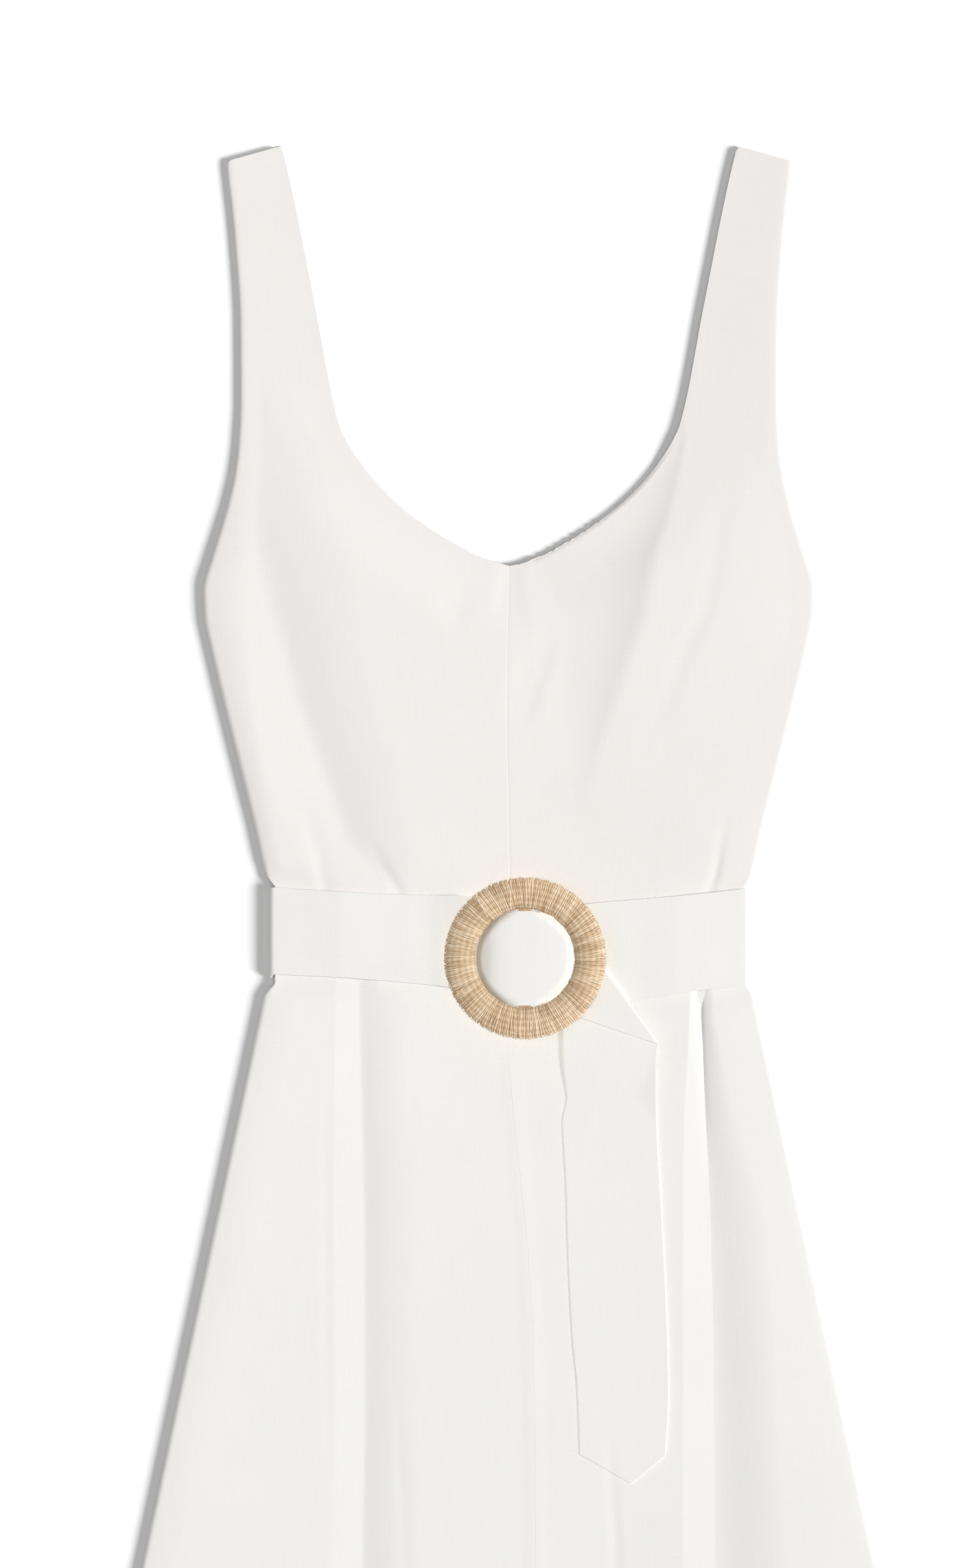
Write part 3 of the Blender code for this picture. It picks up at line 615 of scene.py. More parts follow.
    def free_loft(self, x: Array, y: Array) -> Array:
        """Height of the front over the back where nothing holds it, without its folds.

        Args:
            x: Places across.
            y: Places up the dress.

        Returns:
            The height at each, with a round rim along the sides and the neck.
        """
        high, rim = self.lofts["high"](y), self.lofts["rim"](y)
        share = np.ones(x.shape)
        for name, gap in (("left", self.side(y) + x), ("right", self.side(y) - x)):
            slow = 1 - (1 - np.clip(gap / self.lofts[name](y), 0.0, 1.0)) ** 2
            quick = self.rim_share(gap, self.rim_wide)
            share = share * (rim * quick + (high - rim) * slow) / high
        gap = self.neck_gap(x, y)
        quick, slow = self.rim_share(gap, self.rim_wide), soft(gap / self.neck_reach)
        rim = rim * self.neck_rim * soft(np.abs(x) / self.point_fade)
        at_neck = (rim * quick + (high - rim) * slow) / high
        return high * share * np.where(y > self.waist, at_neck, 1.0)

    def front_under(self, x: Array, y: Array) -> Array:
        """Height of the front's underside, with its folds and creases.

        Args:
            x: Places across.
            y: Places up the dress.

        Returns:
            The height at each, on the back at the edges and lofted inside.
        """
        low = np.minimum(self.belt_back_low, self.band_edge(x, "low")) - self.clear_below_belt
        high = np.maximum(self.belt_back_high, self.band_edge(x, "high")) + self.clear_above_belt
        pressed = self.pressed(y, low, high)
        held = self.held_loft * soft((self.side(y) - np.abs(x)) / self.held_reach)
        shape = self.free_loft(x, y) * (1 - pressed) + held * pressed
        above = y > self.waist
        folds = np.where(
            above,
            sum(fold.height(x, y) for fold in self.bodice_folds),
            sum(fold.height(x, y) for fold in self.pleats.values()),
        )
        near = soft((self.side(y) - np.abs(x)) / self.fold_fade)
        shape += np.where(folds > 0, folds * (1 - pressed), folds) * near
        bodice = sum(crease.height(x, y) for crease in BODICE_CREASES)
        skirt = sum(crease.height(x, y) for crease in SKIRT_CREASES)
        from_seam = np.abs(x - self.centre(y))
        dip = self.seam_dip * (1 - soft(from_seam / self.seam_reach)) * above
        shape = shape + np.where(above, bodice, skirt) - dip - self.hem_line(x, y)
        shape = np.maximum(0.0, shape) - self.sag(x, y)
        return self.back_under(y) + self.cloth + self.seam + shape

    def sag(self, x: Array, y: Array) -> Array:
        """How far the neck's edge sinks on the right, where the back is cut lower under it."""
        along = soft(x / self.point_fade) * soft((self.sag_end - y) / self.sag_fade)
        return self.neck_sag * along * (1 - soft(self.neck_gap(x, y) / self.sag_reach))

    def hem_line(self, x: Array, y: Array) -> Array:
        """Depth of the row of stitches that holds the turned hem."""
        up = y - self.hem - self.hem_rise * (x / self.side(y)) ** 2
        return self.hem_dip * (1 - soft(np.abs(up - self.hem_deep) / self.hem_reach))

    def lay(self, x: Array, y: Array) -> Array:
        """Points of the front's underside, a little inside its outline for the wall's sake.

        Args:
            x: Places across.
            y: Places up the dress.

        Returns:
            Rows of points.
        """
        height = self.front_under(x, y)
        gap = self.side(y) - np.abs(x)
        inset = self.edge_inset * (1 - soft(gap / self.inset_reach))
        return np.stack((x - np.sign(x) * inset, y, height), axis=2)

    def climb(self, x: Array, y: Array) -> Array:
        """Rise of the free end over the belt's rest on its way through the ring.

        Args:
            x: Places across.
            y: Places up the dress.

        Returns:
            The rise at each, full in the hole and low under the ring.
        """
        from_ring = np.hypot(x - self.ring_x, y - self.ring_y)
        inside = soft((self.climb_out - from_ring) / self.climb_fade)
        return self.edge_climb(x) + (self.middle_climb(x) - self.edge_climb(x)) * inside

    def belt_height(self, x: Array) -> Array:
        """Height of the middle of the belt's cloth in front, sloping down to the sides."""
        share = np.minimum(1.0, (self.belt_turn - np.abs(x)) / self.belt_slope)
        return self.belt_at_side + (self.belt_rest - self.belt_at_side) * share

    def hem_lift(self, across: Array, row: Array) -> Array:
        """How far the hem's curve lifts a point of a row, none at the waist."""
        down = (self.waist - row) / (self.waist - self.hem)
        return self.hem_rise * (across / self.side(row)) ** 2 * down


FORM = DressForm()


class Value:
    """A number that a shader works out, written with the usual operators."""

    def __init__(self, book: "NodeBook", socket: bpy.types.NodeSocket) -> None:
        """Wraps a socket of a node tree."""
        self.book = book
        self.socket = socket

    def maths(
        self, operation: str, *others: "Value | float", first: float | None = None
    ) -> "Value":
        """Adds a Math node.

        Args:
            operation: The node's operation.
            others: What goes in its next sockets.
            first: A number that goes before this value.

        Returns:
            The node's result.
        """
        terms = [self, *others] if first is None else [first, self]
        node = self.book.node("ShaderNodeMath", {"operation": operation}, dict(enumerate(terms)))
        return Value(self.book, node.outputs[0])

    def __add__(self, other: "Value | float") -> "Value":
        """This plus another."""
        return self.maths("ADD", other)

    __radd__ = __add__

    def __mul__(self, other: "Value | float") -> "Value":
        """This times another."""
        return self.maths("MULTIPLY", other)

    __rmul__ = __mul__

    def __sub__(self, other: "Value | float") -> "Value":
        """This less another."""
        return self.maths("SUBTRACT", other)

    def __rsub__(self, other: float) -> "Value":
        """A number less this."""
        return self.maths("SUBTRACT", first=other)

    def sine(self) -> "Value":
        """The sine of this."""
        return self.maths("SINE")


class NodeBook:
    """One material's node tree, and the one method that adds its nodes."""

    def __init__(self, name: str) -> None:
        """Starts a material with its Principled shader."""
        self.material = bpy.data.materials.new(name)
        self.material.use_nodes = True
        self.tree = self.material.node_tree
        self.shader = self.tree.nodes["Principled BSDF"]

    def node(
        self,
        kind: str,
        settings: dict[str, Any] | None = None,
        sockets: dict[Any, Any] | None = None,
    ) -> bpy.types.Node:
        """Adds a node.

        Args:
            kind: The node's type.
            settings: Its settings, set first. A ramp's stops are pairs of place and colour.
            sockets: Values or links of its inputs, by name or number.

        Returns:
            The node.
        """
        made = self.tree.nodes.new(kind)
        for name, value in (settings or {}).items():
            if name == "stops":
                self.set_stops(made, value)
            else:
                setattr(made, name, value)
        for name, value in (sockets or {}).items():
            self.join(made.inputs[name], value)
        return made

    def join(self, socket: bpy.types.NodeSocket, value: Any) -> None:
        """Links a value or socket into a socket, or sets the socket to it."""
        if isinstance(value, Value):
            value = value.socket
        if isinstance(value, bpy.types.NodeSocket):
            self.tree.links.new(value, socket)
        else:
            socket.default_value = value

    def set_stops(
        self, ramp: bpy.types.Node, stops: Sequence[tuple[float, Sequence[float]]]
    ) -> None:
        """Gives a ramp its stops.

        Args:
            ramp: The ramp's node.
            stops: Each stop's place and its colour.
        """
        elements = ramp.color_ramp.elements
        while len(elements) < len(stops):
            elements.new(1.0)
        for element, (place, colour) in zip(elements, stops):
            element.position = place
            element.color = (*colour, 1.0)

    def value(self, node: bpy.types.Node, output: int | str = 0) -> Value:
        """A node's output as a value."""
        return Value(self, node.outputs[output])

    def place(self) -> tuple[Value, Value, Value]:
        """Where a point is on the piece, in metres."""
        coords = self.node("ShaderNodeTexCoord")
        parts = self.node("ShaderNodeSeparateXYZ", sockets={"Vector": coords.outputs["Object"]})
        return tuple(self.value(parts, name) for name in "XYZ")

    def grain(self, x: Value, y: Value, z: Value, detail: float) -> Value:
        """Noise over a place that has been stretched already, about a half."""
        vector = self.node("ShaderNodeCombineXYZ", sockets={"X": x, "Y": y, "Z": z})
        sockets = {"Vector": vector.outputs[0], "Scale": 1.0, "Detail": detail}
        return self.value(self.node("ShaderNodeTexNoise", sockets=sockets), "Fac")

    def set(self, **sockets: Any) -> None:
        """Sets or links the shader's own sockets, an underline standing for a space."""
        for name, value in sockets.items():
            self.join(self.shader.inputs[name.replace("_", " ")], value)


@dataclass(frozen=True)
class LinenFinish:
    """Plain-woven linen: fine threads with slubs both ways, and a soft sheen."""

    name: str
    thin: tuple[float, float, float]
    thick: tuple[float, float, float]
    threads: float = 1900.0
    slub_width: float = 1100.0
    slub_length: float = 42.0
    cloud: float = 14.0
    relief: float = 0.00006
    roughness: float = 0.86
    sheen: float = 0.12

    def build(self) -> bpy.types.Material:
        """Makes the material.

        Returns:
            The linen.
        """
        book = NodeBook(self.name)
        x, y, z = book.place()
        warp = book.grain(x * self.slub_width, y * self.slub_length, z, 2.0)
        weft = book.grain(x * self.slub_length, y * self.slub_width, z, 2.0)
        clouds = book.grain(x * self.cloud, y * self.cloud, z, 1.0)
        turn = math.pi * self.threads
        weave = (x * turn + weft * 3.0).sine() * (y * turn + warp * 3.0).sine()
        tone = warp * 0.32 + weft * 0.26 + clouds * 0.2 + weave * 0.02 + 0.11
        ramp = book.node(
            "ShaderNodeValToRGB",
            {"stops": ((0.25, self.thin), (0.75, self.thick))},
            {"Fac": tone},
        )
        height = weave * 0.35 + warp * 0.8 + weft * 0.7
        bump = book.node(
            "ShaderNodeBump", sockets={"Height": height, "Strength": 0.5, "Distance": self.relief}
        )
        book.set(
            Base_Color=ramp.outputs["Color"],
            Roughness=self.roughness + 0.12 * (warp - 0.5),
            Normal=bump.outputs["Normal"],
            Sheen_Weight=self.sheen,
            Sheen_Roughness=0.5,
            Specular_IOR_Level=0.2,
        )
        return book.material


@dataclass(frozen=True)
class JuteFinish:
    """Jute yarn: fibres twisted round it, darker between its plies and paler on their tops as
    painted shade and painted highlight, and darker towards the ring's hole as painted shade.
    """

    name: str
    dark: tuple[float, float, float] = (0.43, 0.27, 0.14)
    middle: tuple[float, float, float] = (0.73, 0.545, 0.345)
    pale: tuple[float, float, float] = (0.93, 0.80, 0.62)
    twist: float = 0.55
    turn_points: int = 28
    fibre: float = 2600.0
    relief: float = 0.00022
    roughness: float = 0.58

    def build(self) -> bpy.types.Material:
        """Makes the material.

        Returns:
            The yarn's material, which reads the attribute strand and the map lay.
        """
        book = NodeBook(self.name)
        x, y, z = book.place()
        strand = book.value(book.node("ShaderNodeAttribute", {"attribute_name": "strand"}), "Fac")
        lay = book.node("ShaderNodeUVMap", {"uv_map": "lay"})
        parts = book.node("ShaderNodeSeparateXYZ", sockets={"Vector": lay.outputs["UV"]})
        around, along = book.value(parts, "X"), book.value(parts, "Y")
        # Ply stripes: the twist's relief, and in the tone painted shade between the plies and
        # painted highlight on their tops
        plies = ((around * 2.0 + along * self.twist) * (2 * math.pi)).sine()
        fibres = book.grain(x * self.fibre, y * self.fibre, z * self.fibre, 3.0)
        patches = book.grain(x * 160.0, y * 160.0, z * 160.0, 2.0)
        # Paler on the ring's outer edge and darker on its inner edge round the hole: painted light
        # and painted shade by place round the section
        outside = (along * (2 * math.pi / self.turn_points) + math.pi / 2).sine()
        # strand is each yarn's random tone, kept low on the under layer as painted shade
        tone = strand * 0.46 + fibres * 0.5 + patches * 0.5 + plies * 0.07 + outside * 0.07 - 0.25
        ramp = book.node(
            "ShaderNodeValToRGB",
            {"stops": ((0.12, self.dark), (0.5, self.middle), (0.92, self.pale))},
            {"Fac": tone},
        )
        height = plies * 0.5 + fibres * 0.9
        bump = book.node(
            "ShaderNodeBump", sockets={"Height": height, "Strength": 0.7, "Distance": self.relief}
        )
        book.set(
            Base_Color=ramp.outputs["Color"],
            Roughness=self.roughness + 0.2 * (fibres - 0.5),
            Normal=bump.outputs["Normal"],
            Sheen_Weight=0.25,
            Specular_IOR_Level=0.4,
        )
        return book.material


@dataclass(frozen=True)
class FloorFinish:
    """A plain pale floor."""

    name: str = "pale_floor"
    colour: tuple[float, float, float] = (0.9, 0.9, 0.9)

    def build(self) -> bpy.types.Material:
        """Makes the material.

        Returns:
            The floor's material.
        """
        book = NodeBook(self.name)
        book.set(Base_Color=(*self.colour, 1.0), Roughness=0.9, Specular_IOR_Level=0.1)
        return book.material


@dataclass(frozen=True)
class Wall:
    """The wall that a grid of points is given: standing on them at a lift of 1."""

    thickness: float
    lift: float
    rim: float = 0.4
    rim_steps: int = 2
    mirrored: bool = False

    def build(self, name: str, points: Array, material: bpy.types.Material) -> bpy.types.Object:
        """Makes a piece of cloth.

        Args:
            name: The piece's name.
            points: Rows of points in millimetres.
            material: Its finish.

        Returns:
            The piece, with a turned rim.
        """
        rows, columns = points.shape[:2]
        grid = bmesh.new()
        bmesh.ops.create_grid(grid, x_segments=columns - 1, y_segments=rows - 1, size=0.5)
        for vert in grid.verts:
            row = round((vert.co.y + 0.5) * (rows - 1))
            column = round((vert.co.x + 0.5) * (columns - 1))
            vert.co = Vector(points[row, column]) * MM
        grid.normal_update()
        if sum(face.normal.z * face.calc_area() for face in grid.faces) < 0:
            bmesh.ops.reverse_faces(grid, faces=grid.faces)
        mesh = bpy.data.meshes.new(name)
        grid.to_mesh(mesh)
        grid.free()
        mesh.shade_smooth()
        mesh.materials.append(material)
        piece = bpy.data.objects.new(name, mesh)
        bpy.context.scene.collection.objects.link(piece)
        if self.mirrored:
            mirror = piece.modifiers.new("Other half", "MIRROR")
            mirror.merge_threshold = 0.0001
        wall = piece.modifiers.new("Wall", "SOLIDIFY")
        wall.thickness = self.thickness * MM
        wall.offset = self.lift
        rim = piece.modifiers.new("Turned rim", "BEVEL")
        rim.width = self.rim * MM
        rim.segments = self.rim_steps
        rim.limit_method = "ANGLE"
        rim.angle_limit = math.radians(55)
        rim.harden_normals = True
        return piece


def settle(piece: bpy.types.Object, slot: Slot, *nodes: str) -> bpy.types.Object:
    """Rides a piece on the dress's body in place of CAD nodes.

    Args:
        piece: The piece.
        slot: Where its finish comes from; not used.
        nodes: The nodes that it stands for.

    Returns:
        The piece.
    """
    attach(piece, BODY)
    if nodes:
        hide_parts(*nodes)
    return piece


def eased(count: int, ease: float = 0.7) -> Array:
    """Shares from 0 to 1 that lie closer at both ends."""
    share = np.linspace(0, 1, count)
    return share - ease * np.sin(2 * math.pi * share) / (2 * math.pi)


def rimmed(share: Array, width: Array) -> Array:
    """Shares with a few more at both ends, where a piece's rim turns down.

    Args:
        share: Shares from 0 to 1.
        width: The piece's width in millimetres at each row.

    Returns:
        Rows of shares.
    """
    ends = np.array(RIM_STEPS)[None, :] / width[:, None]
    inside = ends[:, -1:] + (1 - 2 * ends[:, -1:]) * share[None, 1:-1]
    return np.concatenate((ends, inside, 1 - ends[:, ::-1]), axis=1)


@dataclass
class FrontBodice:
    """One half of the front bodice, cut in one with its strap."""

    hand: Hand
    columns: int = 78
    inner_corner: float = 4.5
    outer_corner: float = 2.5
    corner_rows: float = 14.0

    def rows(self) -> Array:
        """Heights of the rows, closer round the neck's point and the strap's end."""
        parts = (
            np.arange(FORM.waist, FORM.neck_point - 6, 3.0),
            np.arange(FORM.neck_point - 4, FORM.neck_point, 2.0),
            np.arange(FORM.neck_point, 396.0, 1.2),
            np.arange(396.0, FORM.top - 12, 3.0),
            np.linspace(FORM.top - 11, FORM.top, 12),
        )
        return np.concatenate(parts)

    def corner(self, gap: Array, radius: float) -> Array:
        """How far a round corner lies below its square one, at a gap from the edge."""
        return radius - np.sqrt(radius**2 - np.clip(radius - gap, 0, radius) ** 2)

    def points(self) -> Array:
        """The half's underside.

        Returns:
            Rows of points.
        """
        rows = self.rows()
        share = rimmed(eased(self.columns), FORM.side(rows) - self.inner(rows))
        row = np.broadcast_to(rows[:, None], share.shape)
        rising = soft((row - FORM.strap_from) / (FORM.top - FORM.strap_from))
        y = row - FORM.shoulder_drop * share * rising
        inner, outer = self.inner(y), FORM.side(y)
        gap_in, gap_out = (outer - inner) * share, (outer - inner) * (1 - share)
        rounding = self.corner(gap_in, self.inner_corner) + self.corner(gap_out, self.outer_corner)
        y = y - rounding * soft((row - FORM.top) / self.corner_rows + 1)
        inner, outer = self.inner(y), FORM.side(y)
        across = inner + (outer - inner) * share
        return FORM.lay(self.hand.value * across, y)

    def inner(self, y: Array) -> Array:
        """Place across of the half's inner edge: the seam below, the neck above."""
        seam = self.hand.value * FORM.centre(y) + FORM.bodice_seam_gap / 2
        return np.where(y > FORM.neck_point, np.maximum(FORM.neck(y), seam), seam)

    def build(self, linen: bpy.types.Material) -> bpy.types.Object:
        """Makes and dresses the half.

        Args:
            linen: Its cloth.

        Returns:
            The piece.
        """
        side = self.hand.name.lower()
        points = self.points()
        wall = Wall(FORM.cloth, 1, rim=FORM.front_rim)
        piece = wall.build(f"linen_front_bodice_{side}", points, linen)
        settle(piece, Slot.LINEN, f"front_bodice_{side}")
        return piece


@dataclass
class FrontSkirt:
    """One half of the front skirt, with its long pleat."""

    hand: Hand
    row_step: float = 3.6

    def rows(self) -> Array:
        """Heights of the rows, closer where the belt presses the cloth."""
        stitched = FORM.hem + FORM.hem_deep
        return np.concatenate((
            np.linspace(FORM.hem, stitched - 2.4, 6),
            np.linspace(stitched - 1.8, stitched + 1.8, 7),
            np.linspace(stitched + 2.4, 66.0, round((66.0 - stitched) / self.row_step)),
            np.linspace(68.0, FORM.waist - FORM.seam, 30),
        ))

    def spans(self) -> tuple[tuple[str, str, int], ...]:
        """Lines down the skirt, from the seam out, and the columns between them."""
        if self.hand is Hand.LEFT:
            return (
                ("seam", "crest", 34), ("crest", "foot", 22),
                ("foot", "start", 14), ("start", "side", 48),
            )
        return (
            ("seam", "start", 44), ("start", "foot", 14),
            ("foot", "crest", 22), ("crest", "side", 30),
        )

    def line(self, name: str, row: Array) -> Array:
        """A line's distance from the middle at each row."""
        if name == "seam":
            return self.hand.value * FORM.centre(row) + FORM.seam_gap / 2
        if name == "side":
            return FORM.side(row)
        return self.hand.value * FORM.pleats[self.hand].line(name, row)

    def share(self, start: str, end: str, count: int) -> Array:
        """Shares of a span, closer towards a pleat's foot and its start."""
        even = np.linspace(0, 1, count + 1)
        closer = {"foot": 1.9, "start": 1.3, "seam": 1.3}
        if start in closer and end != "start":
            return even ** closer[start]
        return 1 - (1 - even) ** closer.get(end, 1.0)

    def points(self) -> Array:
        """The half's underside.

        Returns:
            Rows of points.
        """
        row = self.rows()[:, None]
        parts = []
        for start, end, count in self.spans():
            share = self.share(start, end, count)[None, :]
            inner, outer = self.line(start, row), self.line(end, row)
            across = inner + (outer - inner) * share
            if end == "side":
                rim = outer - np.array(RIM_STEPS[::-1])[None, :]
                across = inner + (outer - RIM_STEPS[-1] - inner) * share[:, :-1]
                across = np.concatenate((across, rim), axis=1)
            parts.append(across if start == "seam" else across[:, 1:])
        across = np.concatenate(parts, axis=1)
        row = np.broadcast_to(row, across.shape)
        y = row + FORM.hem_lift(across, row)
        return FORM.lay(self.hand.value * across * FORM.side(y) / FORM.side(row), y)

    def build(self, linen: bpy.types.Material) -> bpy.types.Object:
        """Makes and dresses the half.

        Args:
            linen: Its cloth.

        Returns:
            The piece.
        """
        side = self.hand.name.lower()
        points = self.points()
        wall = Wall(FORM.cloth, 1, rim=FORM.front_rim)
        piece = wall.build(f"linen_front_skirt_{side}", points, linen)
        settle(piece, Slot.LINEN, f"front_skirt_{side}")
        return piece


@dataclass
class Back:
    """The back of the dress: its bodice with both straps, and its skirt."""

    bodice_columns: int = 36
    skirt_columns: int = 90

    def bodice_points(self) -> Array:
        """One half of the back bodice, from the middle out.

        Returns:
            Rows of points.
        """
        point = FORM.neck_point - FORM.back_neck_drop
        rows = np.concatenate((
            np.arange(FORM.waist, point - 3, 4.0),
            np.arange(point, point + 30, 1.5),
            np.arange(point + 32, FORM.top - 12, 5.0),
            np.linspace(FORM.top - 10, FORM.top, 6),
        ))
        row, share = np.meshgrid(rows, eased(self.bodice_columns), indexing="ij")
        rising = soft((row - FORM.strap_from) / (FORM.top - FORM.strap_from))
        y = row - FORM.shoulder_drop * share * rising
        inner = np.where(y > point, FORM.neck(y + FORM.back_neck_drop), 0.0)
        x = inner + (FORM.side(y) - inner) * share
        return np.stack((x, y, FORM.back_under(y)), axis=2)

    def skirt_points(self) -> Array:
        """The back skirt.

        Returns:
            Rows of points.
        """
        rows = np.concatenate((
            np.linspace(FORM.hem, 80.0, 90), np.linspace(84.0, FORM.waist - FORM.seam, 16),
        ))
        row, share = np.meshgrid(rows, np.linspace(-1, 1, self.skirt_columns), indexing="ij")
        across = FORM.side(row) * share
        y = row + FORM.hem_lift(across, row)
        return np.stack((FORM.side(y) * share, y, FORM.back_under(y)), axis=2)

    def build(self, linen: bpy.types.Material) -> list[bpy.types.Object]:
        """Makes and dresses both pieces.

        Args:
            linen: Their cloth.

        Returns:
            The bodice and the skirt.
        """
        half = self.bodice_points()
        bodice = Wall(FORM.cloth, 1, mirrored=True).build("linen_back_bodice", half, linen)
        settle(bodice, Slot.LINEN, "back_bodice")
        whole = self.skirt_points()
        skirt = Wall(FORM.cloth, 1).build("linen_back_skirt", whole, linen)
        settle(skirt, Slot.LINEN, "back_skirt")
        return [bodice, skirt]


@dataclass
class Belt:
    """The belt: the stretch round the waist, and the free end with its fold and tail."""

    turn_steps: int = 16
    band_step: float = 2.4
    band_columns: int = 22
    end_columns: int = 30
    pass_steps: int = 8
    fold_steps: int = 10
    tail_steps: int = 10
    tail_step_down: float = 22.0
    tip_dip: float = 18.0
    tip_at: float = 0.6
    rim: float = 0.07
    fold_squash: float = 0.3
    tail_gap: float = 0.1
    tail_ramp: float = 100.0
    fold_fall: float = 0.1
    bend: float = 0.25
    waves_from: float = 36.0
    turn_fade: float = 14.0
    ring_fade: float = 12.0
    edge_share: float = 0.2

    def band_path(self) -> Array:
        """The stretch's path, from its hook on the bar round the back to beside it.

        Returns:
            Rows of x, z, upper edge and lower edge.
        """
        turn = (FORM.belt_at_side - FORM.belt_cloth / 2) / 2
        middle = FORM.belt_cloth / 2 + turn
        high, low = curve(BAND_RIGHT, "high", "x"), curve(BAND_RIGHT, "low", "x")
        path = [
            (hook.x, FORM.belt_rest + hook.rise, high(hook.x), low(hook.x)) for hook in SEWN_HOOK
        ]
        slope_from = FORM.belt_turn - FORM.belt_slope
        for x in (42.0, 52.0, 64.0, 76.0, 90.0, slope_from, 116.0, 128.0, 140.0):
            path.append((x, FORM.belt_height(x), *self.edges(x)))
        for hand in (1, -1):
            front = self.edges(hand * FORM.belt_turn)
            turned = []
            for n in range(self.turn_steps + 1):
                share = n / self.turn_steps
                angle = math.pi * (0.5 - share)
                turned.append((
                    hand * (FORM.belt_turn + turn * math.cos(angle)),
                    middle + turn * math.sin(angle),
                    front[0] + (FORM.belt_back_high - front[0]) * share,
                    front[1] + (FORM.belt_back_low - front[1]) * share,
                ))
            path += turned if hand == 1 else turned[::-1]
            if hand == 1:
                flat = (FORM.belt_cloth / 2, FORM.belt_back_high, FORM.belt_back_low)
                path += [(x, *flat) for x in np.linspace(120.0, -120.0, 9)]
        climb = FORM.edge_climb
        for x in (-140.0, -128.0, -116.0, -slope_from, -92.0, -80.0, -70.0, -60.0, -52.0, -42.0,
                  -36.0, -30.0):
            path.append((x, FORM.belt_height(x) + climb(x), *self.edges(x)))
        return np.array(path, dtype=float)

    def edges(self, x: float) -> tuple[float, float]:
        """The belt's upper and lower edge at a place across."""
        return float(FORM.band_edge(x, "high")), float(FORM.band_edge(x, "low"))

    def waves(self, x: Array, y: Array) -> Array:
        """Low uneven waves of the belt in front, never below its rest."""
        drift = np.sin(x / 9.0 + 0.7) + 0.7 * np.sin(x / 4.3 + y / 60.0 + 2.0)
        slow = np.sin(x / 27.0 + y / 24.0)
        return 0.06 * (1.7 + drift) + 0.12 * (1 + slow)

    def band_points(self) -> Array:
        """The middle of the stretch's cloth.

        Returns:
            Rows of points.
        """
        path = self.band_path()
        steps = np.hypot(np.diff(path[:, 0]), np.diff(path[:, 1]))
        along = np.concatenate(([0.0], np.cumsum(steps)))
        fine = np.unique(np.concatenate((along, np.arange(0, along[-1], self.band_step))))
        fine = fine[np.concatenate(([True], np.diff(fine) > 0.2))]
        x, z, high, low = (Curve(along, path[:, n])(fine)[:, None] for n in range(4))
        share = eased(self.band_columns, 0.5)[None, :]
        y = low + (high - low) * share
        x, z = np.broadcast_to(x, y.shape), np.broadcast_to(z, y.shape)
        front = (z > FORM.belt_at_side) & (np.abs(x) > self.waves_from)
        at_turn = soft((FORM.belt_turn - np.abs(x)) / self.turn_fade)
        by_ring = soft((np.abs(x) - self.waves_from) / self.ring_fade)
        rise = self.waves(x, y) * at_turn * by_ring
        inside = soft(np.minimum(share, 1 - share) / self.edge_share)
        return np.stack((x, y, z + np.where(front, rise * inside, 0.0)), axis=2)

    def spread(self, rungs: Sequence[Rung], steps: int) -> Array:
        """Fine lines across the free end.

        Args:
            rungs: The lines that are given.
            steps: How many parts each gap between them gets.

        Returns:
            Rows of points, flat.
        """
        given = range(len(rungs))
        fine = np.linspace(0, len(rungs) - 1, steps * (len(rungs) - 1) + 1)
        ax, ay, bx, by = (
            Curve(given, [getattr(rung, name) for rung in rungs])(fine)[:, None]
            for name in Rung._fields
        )
        share = np.linspace(0, 1, self.end_columns + 1)[None, :]
        return np.stack((ax + (bx - ax) * share, ay + (by - ay) * share), axis=2)

    def end_points(self) -> Array:
        """The middle of the free end's cloth.

        Returns:
            Rows of points from the bar to the tail's tip.
        """
        fold = TAIL_RUNGS[0]
        out = np.array((fold.ay - fold.by, fold.bx - fold.ax))
        out /= np.linalg.norm(out)
        passing = self.spread(PASS_RUNGS, self.pass_steps)
        z = FORM.belt_rest + FORM.climb(passing[..., 0], passing[..., 1])
        rows = [np.dstack((passing, z))[:-1]]
        angle = np.linspace(0, math.pi, self.fold_steps + 1)[:, None]
        bulge = self.fold_squash * FORM.fold_radius * np.sin(angle)[:, :, None] * out
        line = passing[-1][None, :, :] + bulge
        fall = FORM.fold_radius * (1 - np.cos(angle))
        z = np.broadcast_to(FORM.ply_height - fall, line.shape[:2])
        rows.append(np.dstack((line, z)))
        tail = self.spread(TAIL_RUNGS, self.tail_steps)[1:]
        share = np.linspace(0, 1, self.end_columns + 1)[None, :]
        tent = np.minimum(share / self.tip_at, (1 - share) / (1 - self.tip_at))
        last = np.linspace(0, 1, self.tail_steps)[:, None] ** 1.5
        tail[-self.tail_steps:, :, 1] -= self.tip_dip * tent * last
        rows.append(np.dstack((tail, self.tail_height(tail, out))))
        return np.concatenate(rows)

    def tail_height(self, tail: Array, out: Array) -> Array:
        """Height of the tail's middle: off the fold, down onto the belt and then the skirt.

        Args:
            tail: Rows of points, flat.
            out: The way that the fold faces.

        Returns:
            The height at each.
        """
        x, y = tail[..., 0], tail[..., 1]
        start = np.array((TAIL_RUNGS[0].ax, TAIL_RUNGS[0].ay))
        away = -((tail - start) @ out)
        from_fold = FORM.tail_rest - self.fold_fall * away
        below = FORM.band_edge(x, "low") - self.tail_step_down - y
        on_belt = FORM.tail_rest * soft(1 - below / self.tail_ramp)
        on_skirt = FORM.front_under(x, y) + FORM.cloth + self.tail_gap + FORM.belt_cloth / 2
        return self.smooth_top(from_fold, self.smooth_top(on_belt, on_skirt))

    def smooth_top(self, first: Array, second: Array) -> Array:
        """The higher of two heights, with a soft bend where they cross."""
        return (first + second + np.hypot(first - second, self.bend)) / 2

